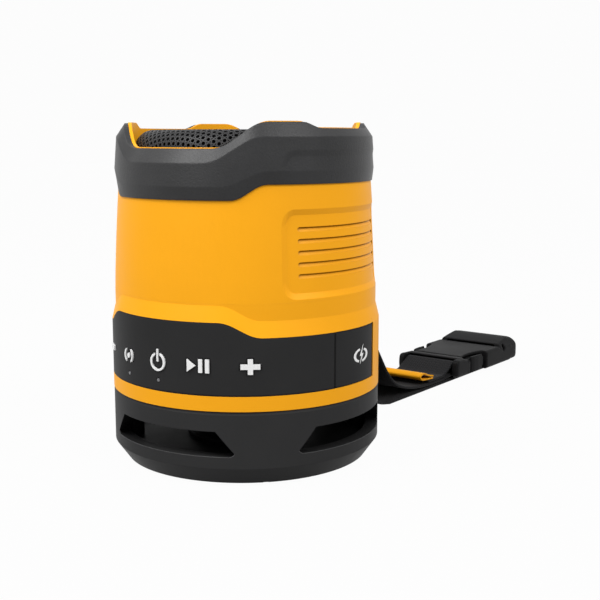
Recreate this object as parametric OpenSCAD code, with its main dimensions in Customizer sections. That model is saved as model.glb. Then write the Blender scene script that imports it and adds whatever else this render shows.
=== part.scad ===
// Compact wireless speaker with a rubber bumper, a control belt, a webbing strap and a side-release buckle.
// Millimetres, +Z up. The origin is the centre of the resting face.
// The front faces -Y and the strap leaves at +Y.
// Angles round the housing are in degrees from the front, positive towards +X.

/* [Housing] */
// Radius of the belt, the widest part of the housing
belt_r = 47.5; // [45:0.5:52]
// Height of the yellow stripe under the control panel
stripe_h = 5; // [4:0.5:8]
// Height of the control panel at the sides
panel_h = 18.75; // [18:0.25:24]
// How much higher the panel is at the front and rear
panel_rise = 4.95; // [3:0.05:7]
// Height of the sloped shoulder above the panel
shoulder_h = 5.3; // [4:0.1:7]
// How far the shoulder steps in
shoulder_in = 1.3; // [0.8:0.1:2]
// Height of the upper housing above the shoulder
upper_h = 39.5; // [37:0.5:50]
// How much narrower the upper housing is at its top
upper_taper = 2.25; // [1:0.25:3]
// Wall of both housings
wall = 2.6; // [2.2:0.1:3]
// Thickness of the baffle plate that carries the driver
baffle_t = 4; // [3:0.5:6]

/* [Base] */
// Height of the base cage
base_h = 25.5; // [24:0.5:32]
// Radius of the resting edge of the base
base_foot_r = 43.2; // [42:0.2:45]
// Height at which the bottom chamfer of the base ends
base_chamfer_h = 6.5; // [4:0.5:8]
// Radial thickness of the cage wall
cage_wall = 4.5; // [3.5:0.5:6]
// Height of the sill of the sound windows above the floor
window_sill_h = 10.5; // [9:0.1:13]
// Height of the sound windows
window_h = 8.3; // [5:0.1:9]
// Width of a sound window along its sill
window_sill_w = 52; // [44:1:54]
// Width of a sound window along its top
window_top_w = 39.4; // [32:0.2:42]
// Corner radius at the sill of the sound windows
window_corner_r = 2; // [1:0.25:3]
// Height of the cavity floor above the resting face
cavity_floor_h = 7; // [5:0.5:9]
// Height of the sound diffuser
diffuser_h = 7.5; // [5:0.5:9]
// Thickness of the rubber foot ring
foot_t = 2.2; // [1.5:0.1:3]

/* [Bumper and crown] */
// How far the bumper laps down over the housing at the front
bumper_lap = 7.1; // [5:0.1:9]
// How much higher the bumper's lower edge is at the sides
bumper_rise = 4.95; // [3:0.05:6]
// Height of the bumper's lower bevel
bumper_chamfer_h = 4.2; // [3:0.1:5]
// Largest radius of the bumper, measured out from the housing's top edge
bumper_bulge = 1.45; // [1:0.05:2]
// Height of the rim over the housing in the front and rear notches
rim_notch_h = 8.95; // [8:0.05:12]
// Height of the rim over the housing at the humps
rim_hump_h = 17.3; // [15:0.1:22]
// Depth of the shallow notch at each side
side_notch_d = 1.95; // [1:0.05:3]
// Height of the rim's bevel
rim_bevel_h = 4.5; // [3:0.1:6]
// How far the crown stands above the bumper
crown_lip = 0.3; // [0.2:0.1:1.5]
// Depth of the recess in each side of the bumper
bumper_recess_d = 0.35; // [0.2:0.05:0.7]

/* [Grille] */
// Radius of the grille's skirt
grille_r = 38.5; // [37.5:0.1:38.8]
// Height of the grille's flat top over the housing
grille_h = 15; // [14:0.5:18]
// Radius of the grille's rounded edge
grille_edge_r = 7; // [4:0.5:8]
// Thickness of the grille
grille_t = 0.8; // [0.6:0.1:1.2]
// Width of a grille hole
grille_hole_w = 2.4; // [1.6:0.1:3]
// Spacing of the grille holes
grille_pitch = 4; // [3.6:0.2:6]

/* [Grips] */
// Height of the grip recess
grip_h = 28.6; // [20:0.2:32]
// Width of the recesses in the sides, straight across
grip_w = 57.5; // [50:0.5:66]
// Depth of the grip recess
grip_d = 0.8; // [0.4:0.1:1.2]
// Height of the recess over the split between the housings
grip_lift = 0.9; // [0.5:0.1:4]
// Number of grooves in a grip
groove_count = 5; // [3:1:6]
// Spacing of the grooves
groove_pitch = 3.73; // [3:0.01:4.5]
// Height of a groove
groove_h = 1.5; // [1:0.1:2]
// Depth of a groove at its upper edge
groove_d = 0.9; // [0.4:0.1:1.2]
// Half the angle that a groove covers
groove_half_angle = 30; // [20:1:34]

/* [Keys and charging socket] */
// Thickness of the control panel
panel_t = 2; // [1.8:0.1:2.2]
// Height of the keys over the panel's lower edge
key_lift = 9.7; // [9:0.1:11]
// Angle between the middle key and its neighbours
key_near_angle = 18.2; // [17:0.1:20]
// Angle between the middle key and the outer keys
key_far_angle = 38.5; // [36:0.5:40]
// Travel of a key
key_travel = 0.5; // [0.3:0.05:0.6]
// How far a key stands above the panel
key_proud = 0.4; // [0.2:0.1:0.8]
// Height of the status lights over the panel's lower edge
light_lift = 3.6; // [3:0.1:4]
// Angle at which the control panel ends, each side
panel_end_angle = 102.5; // [98:0.5:106]
// Angle of the seam between the panel and the socket cover
cover_angle = 74.4; // [70:0.2:78]
// Width of the charging socket
usb_w = 9; // [8.8:0.1:9.4]
// Height of the charging socket
usb_h = 3.2; // [3:0.1:3.4]

/* [Strap and buckle] */
// Width of the webbing
strap_w = 25; // [20:0.5:26]
// Thickness of the webbing
strap_t = 1.3; // [1.2:0.1:1.8]
// Turn of the strap away from straight back
strap_yaw = 2.5; // [0:0.5:5]
// Distance from the belt to the buckle
strap_reach = 87.5; // [80:0.5:110]
// Width of the buckle's socket
buckle_w = 34; // [33:0.5:40]
// Length of the buckle's socket
socket_l = 53.3; // [52:0.1:60]
// Height of the buckle over the webbing that runs under it
buckle_t = 8.8; // [8.2:0.1:10]
// How much higher the socket's end is
socket_end_rise = 3; // [1.5:0.1:4]
// Length of the plug's base
plug_l = 9.4; // [9:0.1:12]
// Length of the plug's arms
arm_l = 27; // [25:0.5:32]
// Length of the folded end tab
tab_l = 12; // [8:0.5:14]

/* [Driver and radiator] */
// Radius of the driver's flange
driver_r = 34; // [33:0.5:35]
// Radius of the driver's cone
cone_r = 25.6; // [24:0.2:26]
// Depth of the driver below its flange
driver_depth = 31; // [28:0.5:33]
// Radius of the driver's magnet
magnet_r = 18; // [16:0.5:20]
// Radius of the voice coil
coil_r = 8.9; // [8:0.1:9]
// Radius of the passive radiator's plate
radiator_r = 21.5; // [18:0.5:22]
// Radius of the passive radiator's frame
radiator_frame_r = 37.5; // [36:0.5:37.5]

/* [Hidden] */

// Shared clearances and small sizes
fit_gap = 0.1;
key_gap = 0.12;
pin_gap = 0.06;
screw_r = 1.3;
screw_head_r = 2.1;
screw_head_h = 1.5;
round_fn = 96;
small_fn = 32;
over = 1;
ring_step = 1.8;
housing_step = 2.4;
corner_step = 0.9;

// Heights, from the floor up
z_panel = base_h + stripe_h;
z_panel_side = z_panel + panel_h;
z_panel_front = z_panel_side + panel_rise;
split_lip = 0.5;
z_split = z_panel_front + shoulder_h + split_lip;
z_top = z_split + upper_h;

// Radii
split_r = belt_r - shoulder_in;
top_r = split_r - upper_taper;
lower_in_r = split_r - wall;
base_inset = 0.1;
base_r = belt_r - base_inset;
panel_in_r = belt_r - panel_t;
pocket_r = panel_in_r - fit_gap;

// Angles at which the wavy edges start and end their slopes, from the front or rear
panel_slope = [29, 40.4];
bumper_low_slope = [33.5, 43.5];
bumper_face_slope = [30, 43.5];
rim_bevel_slope = [23.5, 41];
rim_slope = [27, 43];
hump_end_slope = [65, 70.5];
// How soft the bends of those slopes are, as a share of the slope
bend_soft = 0.28;

// Recesses in the sides: the angle of their near border, the width of the sloped border and its corners
side_angle = 90 - asin(grip_w / 2 / split_r);
recess_edge = 1.9;
recess_corner_r = 5;
recess_min = 0.3;
corner_span = recess_corner_r / split_r * 180 / PI;

// Angle from the nearer of front and rear
function fold(a) =
    let (b = abs(a) % 360, c = b > 180 ? 360 - b : b)
    c > 90 ? 180 - c : c;
// Share of a slope with rounded bends, from 0 before it to 1 after it
function ramp_area(t) = t < 0 ? 0 : t < 1 ? t * t / 2 : t - 0.5;
function soft_share(a, ends) =
    let (t = (fold(a) - ends[0]) / (ends[1] - ends[0]))
    (ramp_area(t + bend_soft) - ramp_area(t - bend_soft)) / (2 * bend_soft);
// Value that slopes from one level to another between two angles
function slope(a, ends, from, to) = from + (to - from) * soft_share(a, ends);
// Distance along a surface from the near border of a side recess, and what the border does there
function recess_run(a, r) = (fold(a) - side_angle) * PI / 180 * r;
function recess_share(run) = max(0, min(1, run / recess_edge));
function corner_fall(run, r) = run >= r ? 0 : r - sqrt(r * r - pow(r - max(run, 0), 2));
function inner_fall(run) =
    max(corner_fall(run, recess_corner_r) + recess_min,
        recess_edge + corner_fall(run - recess_edge, recess_corner_r - recess_edge));
// Point on the housing at an angle, a radius and a height
function at(a, r, z) = [r * sin(a), -r * cos(a), z];
// Angles round the housing, closer together at the corners of the side recesses
function steps_between(a, b, step) =
    let (n = ceil((b - a) / step))
    [for (i = [0:n - 1]) a + (b - a) * i / n];
function quarter(step) = concat(
    steps_between(0, side_angle, step),
    steps_between(side_angle, side_angle + corner_span, corner_step),
    steps_between(side_angle + corner_span, 90, step),
    [90]
);
function angles_round(q) =
    let (last = len(q) - 1)
    [for (k = [-2:1]) for (i = [0:last - 1]) 90 * k + (k % 2 == 0 ? q[i] : 90 - q[last - i])];
round_angles = angles_round(quarter(ring_step));
housing_angles = angles_round(quarter(housing_step));
function part_angles(from, to) =
    concat([from], [for (a = round_angles) if (a > from + 0.2 && a < to - 0.2) a], [to]);
// Points on an arc
function arc(centre, r, from, to, steps) =
    [for (i = [0:steps]) let (t = from + (to - from) * i / steps) centre + r * [cos(t), sin(t)]];

function panel_top(a) = slope(a, panel_slope, z_panel_front, z_panel_side);
function shoulder_top(a) = panel_top(a) + shoulder_h;
// Slightly barrelled side of the upper housing
barrel = 1.3;
function upper_r(z) = split_r - upper_taper * pow(max(0, z - z_split) / upper_h, barrel);

// Solid ring whose outline changes with the angle
module ring_loft(angles, outlines) {
    n = len(outlines[0]);
    m = len(angles);
    points = [for (i = [0:m - 1]) for (p = outlines[i]) at(angles[i], p[0], p[1])];
    faces = [for (i = [0:m - 1]) for (j = [0:n - 1])
        let (k = (i + 1) % m, l = (j + 1) % n, a = i * n + j, b = i * n + l, c = k * n + l, d = k * n + j)
        each [[a, b, c], [a, c, d]]];
    polyhedron(points, faces);
}

// Solid part of a ring, closed at both ends
module arc_loft(angles, outlines) {
    n = len(outlines[0]);
    m = len(angles);
    points = [for (i = [0:m - 1]) for (p = outlines[i]) at(angles[i], p[0], p[1])];
    sides = [for (i = [0:m - 2]) for (j = [0:n - 1])
        let (l = (j + 1) % n, a = i * n + j, b = i * n + l, c = b + n, d = a + n)
        each [[a, b, c], [a, c, d]]];
    start = [for (j = [n - 1:-1:0]) j];
    finish = [for (j = [0:n - 1]) (m - 1) * n + j];
    polyhedron(points, concat(sides, [start, finish]));
}

// Places a flat shape on the housing: its x runs along the belt, its y up, and it is extruded outwards
module radial(angle, r, z) {
    rotate([0, 0, angle]) translate([0, -r, z]) rotate([90, 0, 0]) children();
}

// Part of a ring with a constant outline
module arc_block(from, to, r0, r1, z0, z1) {
    rotate([0, 0, from - 90]) rotate_extrude(angle = to - from, $fn = round_fn)
        translate([r0, z0]) square([r1 - r0, z1 - z0]);
}

// Turns the strap and buckle about the middle of the rear of the belt
module strapped() {
    translate([0, belt_r, 0]) rotate([0, 0, -strap_yaw]) translate([0, -belt_r, 0]) children();
}

module ring(r0, r1, z0, z1) {
    translate([0, 0, z0]) difference() {
        cylinder(r = r1, h = z1 - z0, $fn = round_fn);
        translate([0, 0, -over]) cylinder(r = r0, h = z1 - z0 + 2 * over, $fn = round_fn);
    }
}

module screw(length) {
    translate([0, 0, -length]) cylinder(r = screw_r, h = length, $fn = small_fn);
    difference() {
        cylinder(r = screw_head_r, h = screw_head_h, $fn = small_fn);
        translate([0, 0, screw_head_h / 2]) cylinder(r = screw_r * 0.75, h = screw_head_h, $fn = 6);
    }
}

// Base

foot_in_r = 33;
foot_inset = 2;
foot_out_r = base_foot_r - foot_inset;
foot_stand = 0.6;
throat_r = 31;
cavity_r = base_r - cage_wall;
cage_top_t = base_h - window_sill_h - window_h;
post_r = 4;
post_inset = 1.7;
post_pitch_r = cavity_r - post_inset;
base_bore_r = screw_r + pin_gap;
post_angles = [45, 135, 225, 315];
side_angles = [0, 90, 180, 270];
boss_h = stripe_h;
base_top_chamfer = [0.5, 1.1];
diffuser_edge_h = 1;
diffuser_slope_h = 2;
diffuser_tip_h = 0.4;

module foot_ring() {
    color("#151516") ring(foot_in_r, foot_out_r, 0, foot_t);
}

module sound_window() {
    sill = window_sill_w / 2;
    top = window_top_w / 2;
    rotate([90, 0, 0]) linear_extrude(belt_r + over) difference() {
        polygon([[-sill, 0], [sill, 0], [top, window_h], [-top, window_h]]);
        for (side = [-1, 1]) translate([side * sill, 0]) difference() {
            translate([-window_corner_r, -over]) square([2 * window_corner_r, window_corner_r + over]);
            translate([-side * window_corner_r * 1.3, window_corner_r])
                circle(r = window_corner_r, $fn = small_fn);
        }
    }
}

module base_cage() {
    color("#1d1d1f") difference() {
        union() {
            rotate_extrude($fn = round_fn) polygon([
                [0, foot_stand],
                [base_foot_r, foot_stand],
                [base_r, base_chamfer_h],
                [base_r, base_h - base_top_chamfer[1]],
                [base_r - base_top_chamfer[0], base_h],
                [throat_r, base_h],
                [throat_r, base_h - cage_top_t / 2],
                [throat_r + cage_top_t / 4, base_h - cage_top_t],
                [cavity_r, base_h - cage_top_t],
                [cavity_r, cavity_floor_h],
                [0, cavity_floor_h]
            ]);
            for (a = post_angles) translate(at(a, post_pitch_r, cavity_floor_h - over))
                cylinder(r = post_r, h = base_h - cavity_floor_h, $fn = small_fn);
        }
        ring(foot_in_r - fit_gap, foot_out_r + fit_gap, foot_stand - over, foot_t);
        for (a = side_angles) rotate([0, 0, a])
            translate([0, -cavity_r / 2, window_sill_h]) sound_window();
        for (a = post_angles) translate(at(a, post_pitch_r, 0)) {
            cylinder(r = base_bore_r, h = base_h + over, $fn = small_fn);
            cylinder(r = screw_head_r + fit_gap, h = cavity_floor_h - over, $fn = small_fn);
        }
        for (a = side_angles) translate(at(a, radiator_screw_r, base_h - radiator_screw_l))
            cylinder(r = base_bore_r, h = radiator_screw_l + over, $fn = small_fn);
    }
}

module sound_diffuser() {
    z1 = cavity_floor_h + diffuser_h;
    color("#232325") rotate_extrude($fn = round_fn) polygon([
        [0, cavity_floor_h],
        [radiator_r, cavity_floor_h],
        [radiator_r, cavity_floor_h + diffuser_edge_h],
        [radiator_r / 2, z1 - diffuser_slope_h],
        [radiator_r / 4, z1 - diffuser_tip_h],
        [0, z1]
    ]);
}

module base_screws() {
    color("silver") for (a = post_angles) translate(at(a, post_pitch_r, cavity_floor_h - over))
        mirror([0, 0, 1]) screw(base_h + boss_h - cavity_floor_h - over);
}

// Housings

shoulder_pitch = shoulder_h / shoulder_in;
panel_clear_angle = 0.12;

// What is cut away outside the sloped shoulder
function shoulder_cut(a) =
    let (zp = panel_top(a), zs = shoulder_top(a))
    [
        [split_r, zs],
        [belt_r + over, zp - over * shoulder_pitch],
        [belt_r + over, z_split + over],
        [split_r, z_split + over]
    ];

// Solid of the control panel's own outline, grown by a clearance
module panel_band(from, to, r0, r1, grow) {
    angles = part_angles(from, to);
    arc_loft(angles, [for (a = angles)
        let (z0 = z_panel - grow, z1 = panel_top(a) + grow)
        [[r0, z0], [r1, z0], [r1, z1], [r0, z1]]]);
}

key_z = z_panel + key_lift;
key_window_h = 14;
key_window_w = 11;
key_board_gap = 2;
key_board_r = lower_in_r - key_board_gap;
key_board_t = 1;
key_board_margin = 2;
key_board_h = key_window_h + 2 * key_board_margin;
key_board_end_angle = 9.5;
key_board_angle = key_far_angle + key_board_end_angle;
standoff_r = 1.2;
standoff_lift = 1.2;
standoff_end_angle = 2;
standoff_angle = key_board_angle - standoff_end_angle;

bracket_w = 38;
channel_side = 2;
channel_w = bracket_w + 2 * channel_side;
bracket_t = 2.5;
bracket_drop = 3;
bracket_top_inset = 0.5;
bracket_z0 = z_panel - bracket_drop;
bracket_z1 = z_panel_front - bracket_top_inset;
bracket_slot_h = 4.8;
slot_side = 1;
bracket_slot_w = strap_w + 2 * slot_side;
bracket_back_r = belt_r - bracket_t;
slot_low_lift = 4;
slot_high_drop = 5.3;
slot_low_z = bracket_z0 + slot_low_lift;
slot_high_z = bracket_z1 - slot_high_drop;
channel_edge = 0.8;
channel_depth = 5.2;
channel_back_y = bracket_back_r - channel_depth;
channel_pad = 2.2;
bracket_screw_inset = 2.1;
bracket_screw_angle = asin((bracket_w / 2 - bracket_screw_inset) / belt_r);
bracket_screw_z = (bracket_z0 + bracket_z1) / 2;

hinge_inset_angle = 0.6;
hinge_angle = panel_end_angle - hinge_inset_angle;
hinge_depth = 0.95;
hinge_bead_r = 0.85;
hinge_r = belt_r - hinge_depth;
hinge_pin_r = 0.6;
hinge_pin_l = 1.2;
hinge_clear_r = 1.4;

usb_angle = (cover_angle + panel_end_angle) / 2;
usb_port_gap = 0.8;
usb_l = 7;
usb_stand = 1.2;
usb_out_r = lower_in_r + usb_stand;
usb_board_t = 1;
usb_board_w = 14;
usb_board_r = sqrt(lower_in_r * lower_in_r - usb_board_w * usb_board_w / 4) - fit_gap;
usb_board_z = key_z - usb_h / 2 - usb_board_t;
shelf_t = 1.4;
shelf_short = 2;
boss_inset = 0.4;
frame_clear_h = 5;

module bracket_outline(grow) {
    translate([-bracket_w / 2 - grow, 0, bracket_z0 - grow])
        cube([bracket_w + 2 * grow, belt_r + over, bracket_z1 - bracket_z0 + 2 * grow]);
}

module lower_housing() {
    color("#f5a012") difference() {
        union() {
            ring(lower_in_r, belt_r, base_h, z_split);
            for (a = post_angles) translate(at(a, post_pitch_r, base_h))
                cylinder(r = post_r - boss_inset, h = boss_h, $fn = small_fn);
            for (a = [-standoff_angle, standoff_angle]) for (side = [-1, 1])
                radial(a, key_board_r, key_z + side * (key_window_h / 2 + standoff_lift))
                    linear_extrude(lower_in_r - key_board_r + wall / 2)
                        circle(r = standoff_r, $fn = small_fn);
            translate([-channel_w / 2, channel_back_y - channel_pad, base_h])
                cube([channel_w, channel_depth, z_split - base_h]);
            rotate([0, 0, usb_angle])
                translate([-usb_board_w / 2, -lower_in_r - wall / 2, usb_board_z - shelf_t])
                    cube([usb_board_w, usb_board_l - shelf_short, shelf_t]);
        }
        ring_loft(round_angles, [for (a = round_angles) shoulder_cut(a)]);
        panel_band(-panel_end_angle - panel_clear_angle, panel_end_angle + panel_clear_angle,
            pocket_r, belt_r + over, fit_gap / 2);
        for (a = key_angles) radial(a, key_board_r, key_z)
            linear_extrude(belt_r - panel_t / 2 - key_board_r)
                square([key_window_w, key_window_h], center = true);
        radial(usb_angle, lower_in_r - wall, key_z) linear_extrude(3 * wall)
            square([usb_w + 2 * usb_port_gap, usb_h + 2 * usb_port_gap], center = true);
        translate(at(hinge_angle, hinge_r, z_panel - fit_gap))
            cylinder(r = hinge_clear_r, h = panel_h + 2 * fit_gap, $fn = small_fn);
        translate(at(hinge_angle, hinge_r, z_panel - hinge_pin_l - fit_gap))
            cylinder(r = hinge_pin_r + pin_gap, h = panel_h + 2 * (hinge_pin_l + fit_gap), $fn = small_fn);
        difference() {
            bracket_outline(fit_gap);
            translate([0, 0, -over])
                cylinder(r = bracket_back_r - fit_gap, h = z_split + 2 * over, $fn = round_fn);
        }
        translate([-bracket_slot_w / 2, channel_back_y, bracket_z0 + channel_edge])
            cube([bracket_slot_w, belt_r, bracket_z1 - bracket_z0 - 2 * channel_edge]);
        for (a = post_angles) translate(at(a, post_pitch_r, base_h - over))
            cylinder(r = base_bore_r, h = boss_h + 2 * over, $fn = small_fn);
        for (side = [-1, 1])
            radial(180 + side * bracket_screw_angle, channel_back_y - channel_pad - over, bracket_screw_z)
                linear_extrude(3 * channel_depth) circle(r = base_bore_r, $fn = small_fn);
        translate([0, 0, base_h - over])
            cylinder(r = radiator_frame_r + fit_gap, h = over + frame_clear_h, $fn = round_fn);
    }
}

spigot_h = 4;
spigot_t = 2;
driver_seat_w = 3.8;
driver_hole_r = driver_r - driver_seat_w;
grip_z = z_split + grip_lift + grip_h / 2;
groove_shift = 0.4;
groove_lip = 0.1;
groove_z = grip_z + groove_shift;
groove_heights = [for (i = [0:groove_count - 1]) groove_z + (i - (groove_count - 1) / 2) * groove_pitch];

// Outside of the upper housing with the recesses in its sides, down to a radius inside its wall
function upper_outline(a) =
    let (
        run = recess_run(a, split_r),
        d = grip_d * recess_share(run),
        z0 = grip_z - grip_h / 2,
        z1 = grip_z + grip_h / 2,
        fall = corner_fall(run, recess_corner_r),
        inner = inner_fall(run)
    )
    concat(
        [
            [driver_hole_r - over, z_split],
            [split_r, z_split],
            [upper_r(z0 + fall), z0 + fall]
        ],
        [for (i = [0:3]) let (z = z0 + inner + (grip_h - 2 * inner) * i / 3) [upper_r(z) - d, z]],
        [
            [upper_r(z1 - fall), z1 - fall],
            [top_r, z_top],
            [driver_hole_r - over, z_top]
        ]
    );

// Grooves with a deep upper edge and a floor that runs out at the lower edge
module groove_cut() {
    intersection() {
        rotate_extrude($fn = round_fn) for (z = groove_heights) polygon([
            [upper_r(z) - grip_d - groove_d, z + groove_h / 2],
            [upper_r(z) - grip_d - groove_lip, z - groove_h / 2],
            [belt_r, z - groove_h / 2],
            [belt_r, z + groove_h / 2]
        ]);
        rotate([90, 0, 90]) linear_extrude(belt_r + over) for (z = groove_heights) {
            reach = (upper_r(z) - grip_d) * sin(groove_half_angle);
            translate([0, z]) square([2 * reach, groove_h], center = true);
            for (side = [-1, 1]) translate([side * reach, z]) circle(d = groove_h, $fn = small_fn);
        }
    }
}

module upper_housing() {
    color("#f5a012") difference() {
        union() {
            ring_loft(housing_angles, [for (a = housing_angles) upper_outline(a)]);
            ring(lower_in_r - spigot_t, lower_in_r - fit_gap, z_split - spigot_h, z_split + spigot_h);
        }
        rotate_extrude($fn = round_fn) polygon([
            [0, z_split - over],
            [lower_in_r - spigot_t, z_split - over],
            [lower_in_r - spigot_t, z_split],
            [top_r - wall - grip_d, z_top - baffle_t],
            [driver_hole_r, z_top - baffle_t],
            [driver_hole_r, z_top + over],
            [0, z_top + over]
        ]);
        groove_cut();
        mirror([1, 0, 0]) groove_cut();
        for (a = post_angles) translate(at(a, driver_screw_r, z_top - baffle_t - over))
            cylinder(r = base_bore_r, h = baffle_t + 2 * over, $fn = small_fn);
        channel_y = channel_back_y - channel_pad - fit_gap;
        translate([-channel_w / 2 - fit_gap, channel_y, z_split - spigot_h - over])
            cube([channel_w + 2 * fit_gap, belt_r, spigot_h + over]);
    }
}

// Bumper, crown and grille

bumper_r = top_r + bumper_bulge;
bumper_lean = 0.85;
bumper_bevel_r = bumper_r - bumper_lean;
bumper_edge_t = 0.35;
rim_lean = 0.68;
rim_min_w = 0.4;
skirt_gap = 0.7;
crown_t = 2.15;
crown_top_t = 1.2;
crown_lean = 1.05;
crown_ledge_w = 1.2;
crown_shift = [1.2, 1.2];
crown_in_r = grille_r + skirt_gap;
crown_base_r = crown_in_r + crown_t;
crown_ledge_r = crown_base_r - crown_ledge_w;
recess_top_h = 8.5;
z_recess = z_top + recess_top_h;
z_hump = z_top + rim_hump_h;
z_notch = z_top + rim_notch_h;

// Height of the rim: notches at front and rear, a hump at each corner and a shallow notch at each side
function rim_top(a, shift) =
    slope(a, rim_slope + shift, z_notch, z_hump) - slope(a, hump_end_slope - shift, 0, side_notch_d);
function bumper_low(a) = slope(a, bumper_low_slope, z_top - bumper_lap, z_top - bumper_lap + bumper_rise);
function bumper_face(a) =
    bumper_chamfer_h + slope(a, bumper_face_slope, z_top - bumper_lap, z_top - bumper_lap + bumper_rise);
function rim_bevel(a) = slope(a, rim_bevel_slope, z_notch - rim_bevel_h, z_hump - rim_bevel_h);
function crown_r(z) = crown_base_r - crown_lean * (z - z_top) / (rim_hump_h + crown_lip);
function bumper_side_r(a, z) =
    let (zf = bumper_face(a), zb = rim_bevel(a))
    bumper_r - bumper_lean * (z - zf) / (zb - zf);

function bumper_outline(a) =
    let (
        zl = bumper_low(a),
        zf = bumper_face(a),
        zb = rim_bevel(a),
        zt = rim_top(a, [0, 0]),
        run = recess_run(a, bumper_r),
        d = bumper_recess_d * recess_share(run),
        z_border = z_recess - corner_fall(run, recess_corner_r),
        z_edge = max(zf + 2 * recess_min, min(zb - recess_min, z_border)),
        z_in = max(zf + recess_min, min(z_edge - recess_min, z_recess - inner_fall(run)))
    )
    [
        [upper_r(zl) + fit_gap, zl],
        [upper_r(zl) + fit_gap + bumper_edge_t, zl],
        [bumper_side_r(a, zf) - d, zf],
        [bumper_side_r(a, z_in) - d, z_in],
        [bumper_side_r(a, z_edge), z_edge],
        [bumper_bevel_r, zb],
        [max(bumper_bevel_r - rim_lean * (zt - zb), crown_r(zt) + fit_gap + rim_min_w), zt],
        [crown_r(zt) + fit_gap, zt],
        [crown_base_r + fit_gap, z_top],
        [top_r + fit_gap, z_top]
    ];

module bumper() {
    color("#202022") ring_loft(round_angles, [for (a = round_angles) bumper_outline(a)]);
}

module crown_ring() {
    color("#e8960f") ring_loft(round_angles, [for (a = round_angles)
        let (zt = rim_top(a, crown_shift) + crown_lip)
        [
            [crown_ledge_r, z_top],
            [crown_base_r, z_top],
            [crown_r(zt), zt],
            [crown_r(zt) - crown_top_t, zt],
            [crown_in_r, z_top + grille_t],
            [crown_ledge_r, z_top + grille_t]
        ]]);
}

grille_flat_r = grille_r - grille_edge_r;
grille_flange_r = crown_ledge_r - fit_gap;
grille_rows = floor((grille_flat_r - grille_hole_w / 2) / (grille_pitch * sqrt(3) / 2));
grille_columns = ceil(grille_flat_r / grille_pitch);

module grille() {
    z_edge = z_top + grille_h - grille_edge_r;
    centre = [grille_flat_r, z_edge];
    color("#18181a") difference() {
        rotate_extrude($fn = round_fn) polygon(concat(
            [[grille_flange_r, z_top], [grille_flange_r, z_top + grille_t], [grille_r, z_top + grille_t]],
            arc(centre, grille_edge_r, 0, 90, 6),
            [[0, z_top + grille_h], [0, z_top + grille_h - grille_t]],
            arc(centre, grille_edge_r - grille_t, 90, 0, 6),
            [[grille_r - grille_t, z_top]]
        ));
        for (row = [-grille_rows:grille_rows]) for (i = [-grille_columns:grille_columns]) {
            x = (i + (abs(row) % 2) / 2) * grille_pitch;
            y = row * grille_pitch * sqrt(3) / 2;
            if (norm([x, y]) < grille_flat_r - grille_hole_w / 2)
                translate([x, y, z_top + grille_h - grille_t - over])
                    cylinder(d = grille_hole_w, h = grille_t + 2 * over, $fn = 6);
        }
    }
}

// Control panel and keys

bar_w = 6.3;
bar_h = 1.7;
plus_h = 5;
ring_out_r = 3.05;
stroke = 0.7;
power_gap = 2;
power_bar_h = 4.1;
power_bar_z = 2.15;
play_l = 2.9;
play_h = 4.1;
play_x = -3.8;
pause_w = 1.3;
pause_h = 4.4;
pause_x = 1.9;
pause_pitch = 2.3;
wave_r = 2.7;
wave_h = 4.4;
sender_r = 0.85;

module mark_bar(w, h, grow) {
    square([w + 2 * grow, h + 2 * grow], center = true);
}

module mark_minus(grow) {
    mark_bar(bar_w, bar_h, grow);
}

module mark_plus(grow) {
    mark_bar(bar_w, bar_h, grow);
    mark_bar(bar_h, plus_h, grow);
}

module mark_arc(r, grow) {
    difference() {
        circle(r = r + grow, $fn = small_fn);
        circle(r = r - stroke - grow, $fn = small_fn);
    }
}

module mark_power(grow) {
    difference() {
        mark_arc(ring_out_r, grow);
        translate([0, ring_out_r]) square([power_gap - 2 * grow, 2 * ring_out_r - 2 * grow], center = true);
    }
    translate([0, power_bar_z]) mark_bar(stroke, power_bar_h, grow);
}

module mark_play(grow) {
    slant = norm([play_l, play_h / 2]) / (play_h / 2);
    side = play_h / 2 + grow * (norm([play_l, play_h / 2]) + play_h / 2) / play_l;
    polygon([[play_x - grow, -side], [play_x + play_l + grow * slant, 0], [play_x - grow, side]]);
    for (side = [-1, 1]) translate([pause_x + side * pause_pitch / 2, 0]) mark_bar(pause_w, pause_h, grow);
}

// A sender with a wave on each side
module mark_pair(grow) {
    circle(r = sender_r + grow, $fn = small_fn);
    for (side = [-1, 1]) intersection() {
        mark_arc(wave_r, grow);
        translate([side * wave_r, 0]) square([wave_r, wave_h + 2 * grow], center = true);
    }
}

module key_mark(index, grow) {
    if (index == 0) mark_minus(grow);
    if (index == 1) mark_pair(grow);
    if (index == 2) mark_power(grow);
    if (index == 3) mark_play(grow);
    if (index == 4) mark_plus(grow);
}

key_angles = [-key_far_angle, -key_near_angle, 0, key_near_angle, key_far_angle];
key_flange_w = 10;
key_flange_h = 9.6;
key_flange_gap = 0.4;
key_flange_r = panel_in_r - key_flange_gap;
key_flange_t = 1.2;
light_r = 0.55;
light_proud = 0.1;

module key(index) {
    color("white") {
        radial(key_angles[index], key_flange_r - key_flange_t, key_z) linear_extrude(key_flange_t)
            square([key_flange_w, key_flange_h], center = true);
        radial(key_angles[index], key_flange_r - key_flange_t / 2, key_z)
            linear_extrude(belt_r + key_proud - key_flange_r + key_flange_t / 2) key_mark(index, 0);
    }
}

module key_minus() { key(0); }
module key_pair() { key(1); }
module key_power() { key(2); }
module key_play() { key(3); }
module key_plus() { key(4); }

module control_panel() {
    color("#1a1a1c") difference() {
        panel_band(-panel_end_angle, cover_angle - panel_clear_angle, panel_in_r, belt_r, 0);
        for (i = [0:4]) radial(key_angles[i], panel_in_r - over, key_z) linear_extrude(panel_t + 2 * over)
            key_mark(i, key_gap);
        for (i = [1, 2]) radial(key_angles[i], panel_in_r - over, z_panel + light_lift)
            linear_extrude(panel_t + 2 * over) circle(r = light_r + pin_gap, $fn = small_fn);
    }
}

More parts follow.
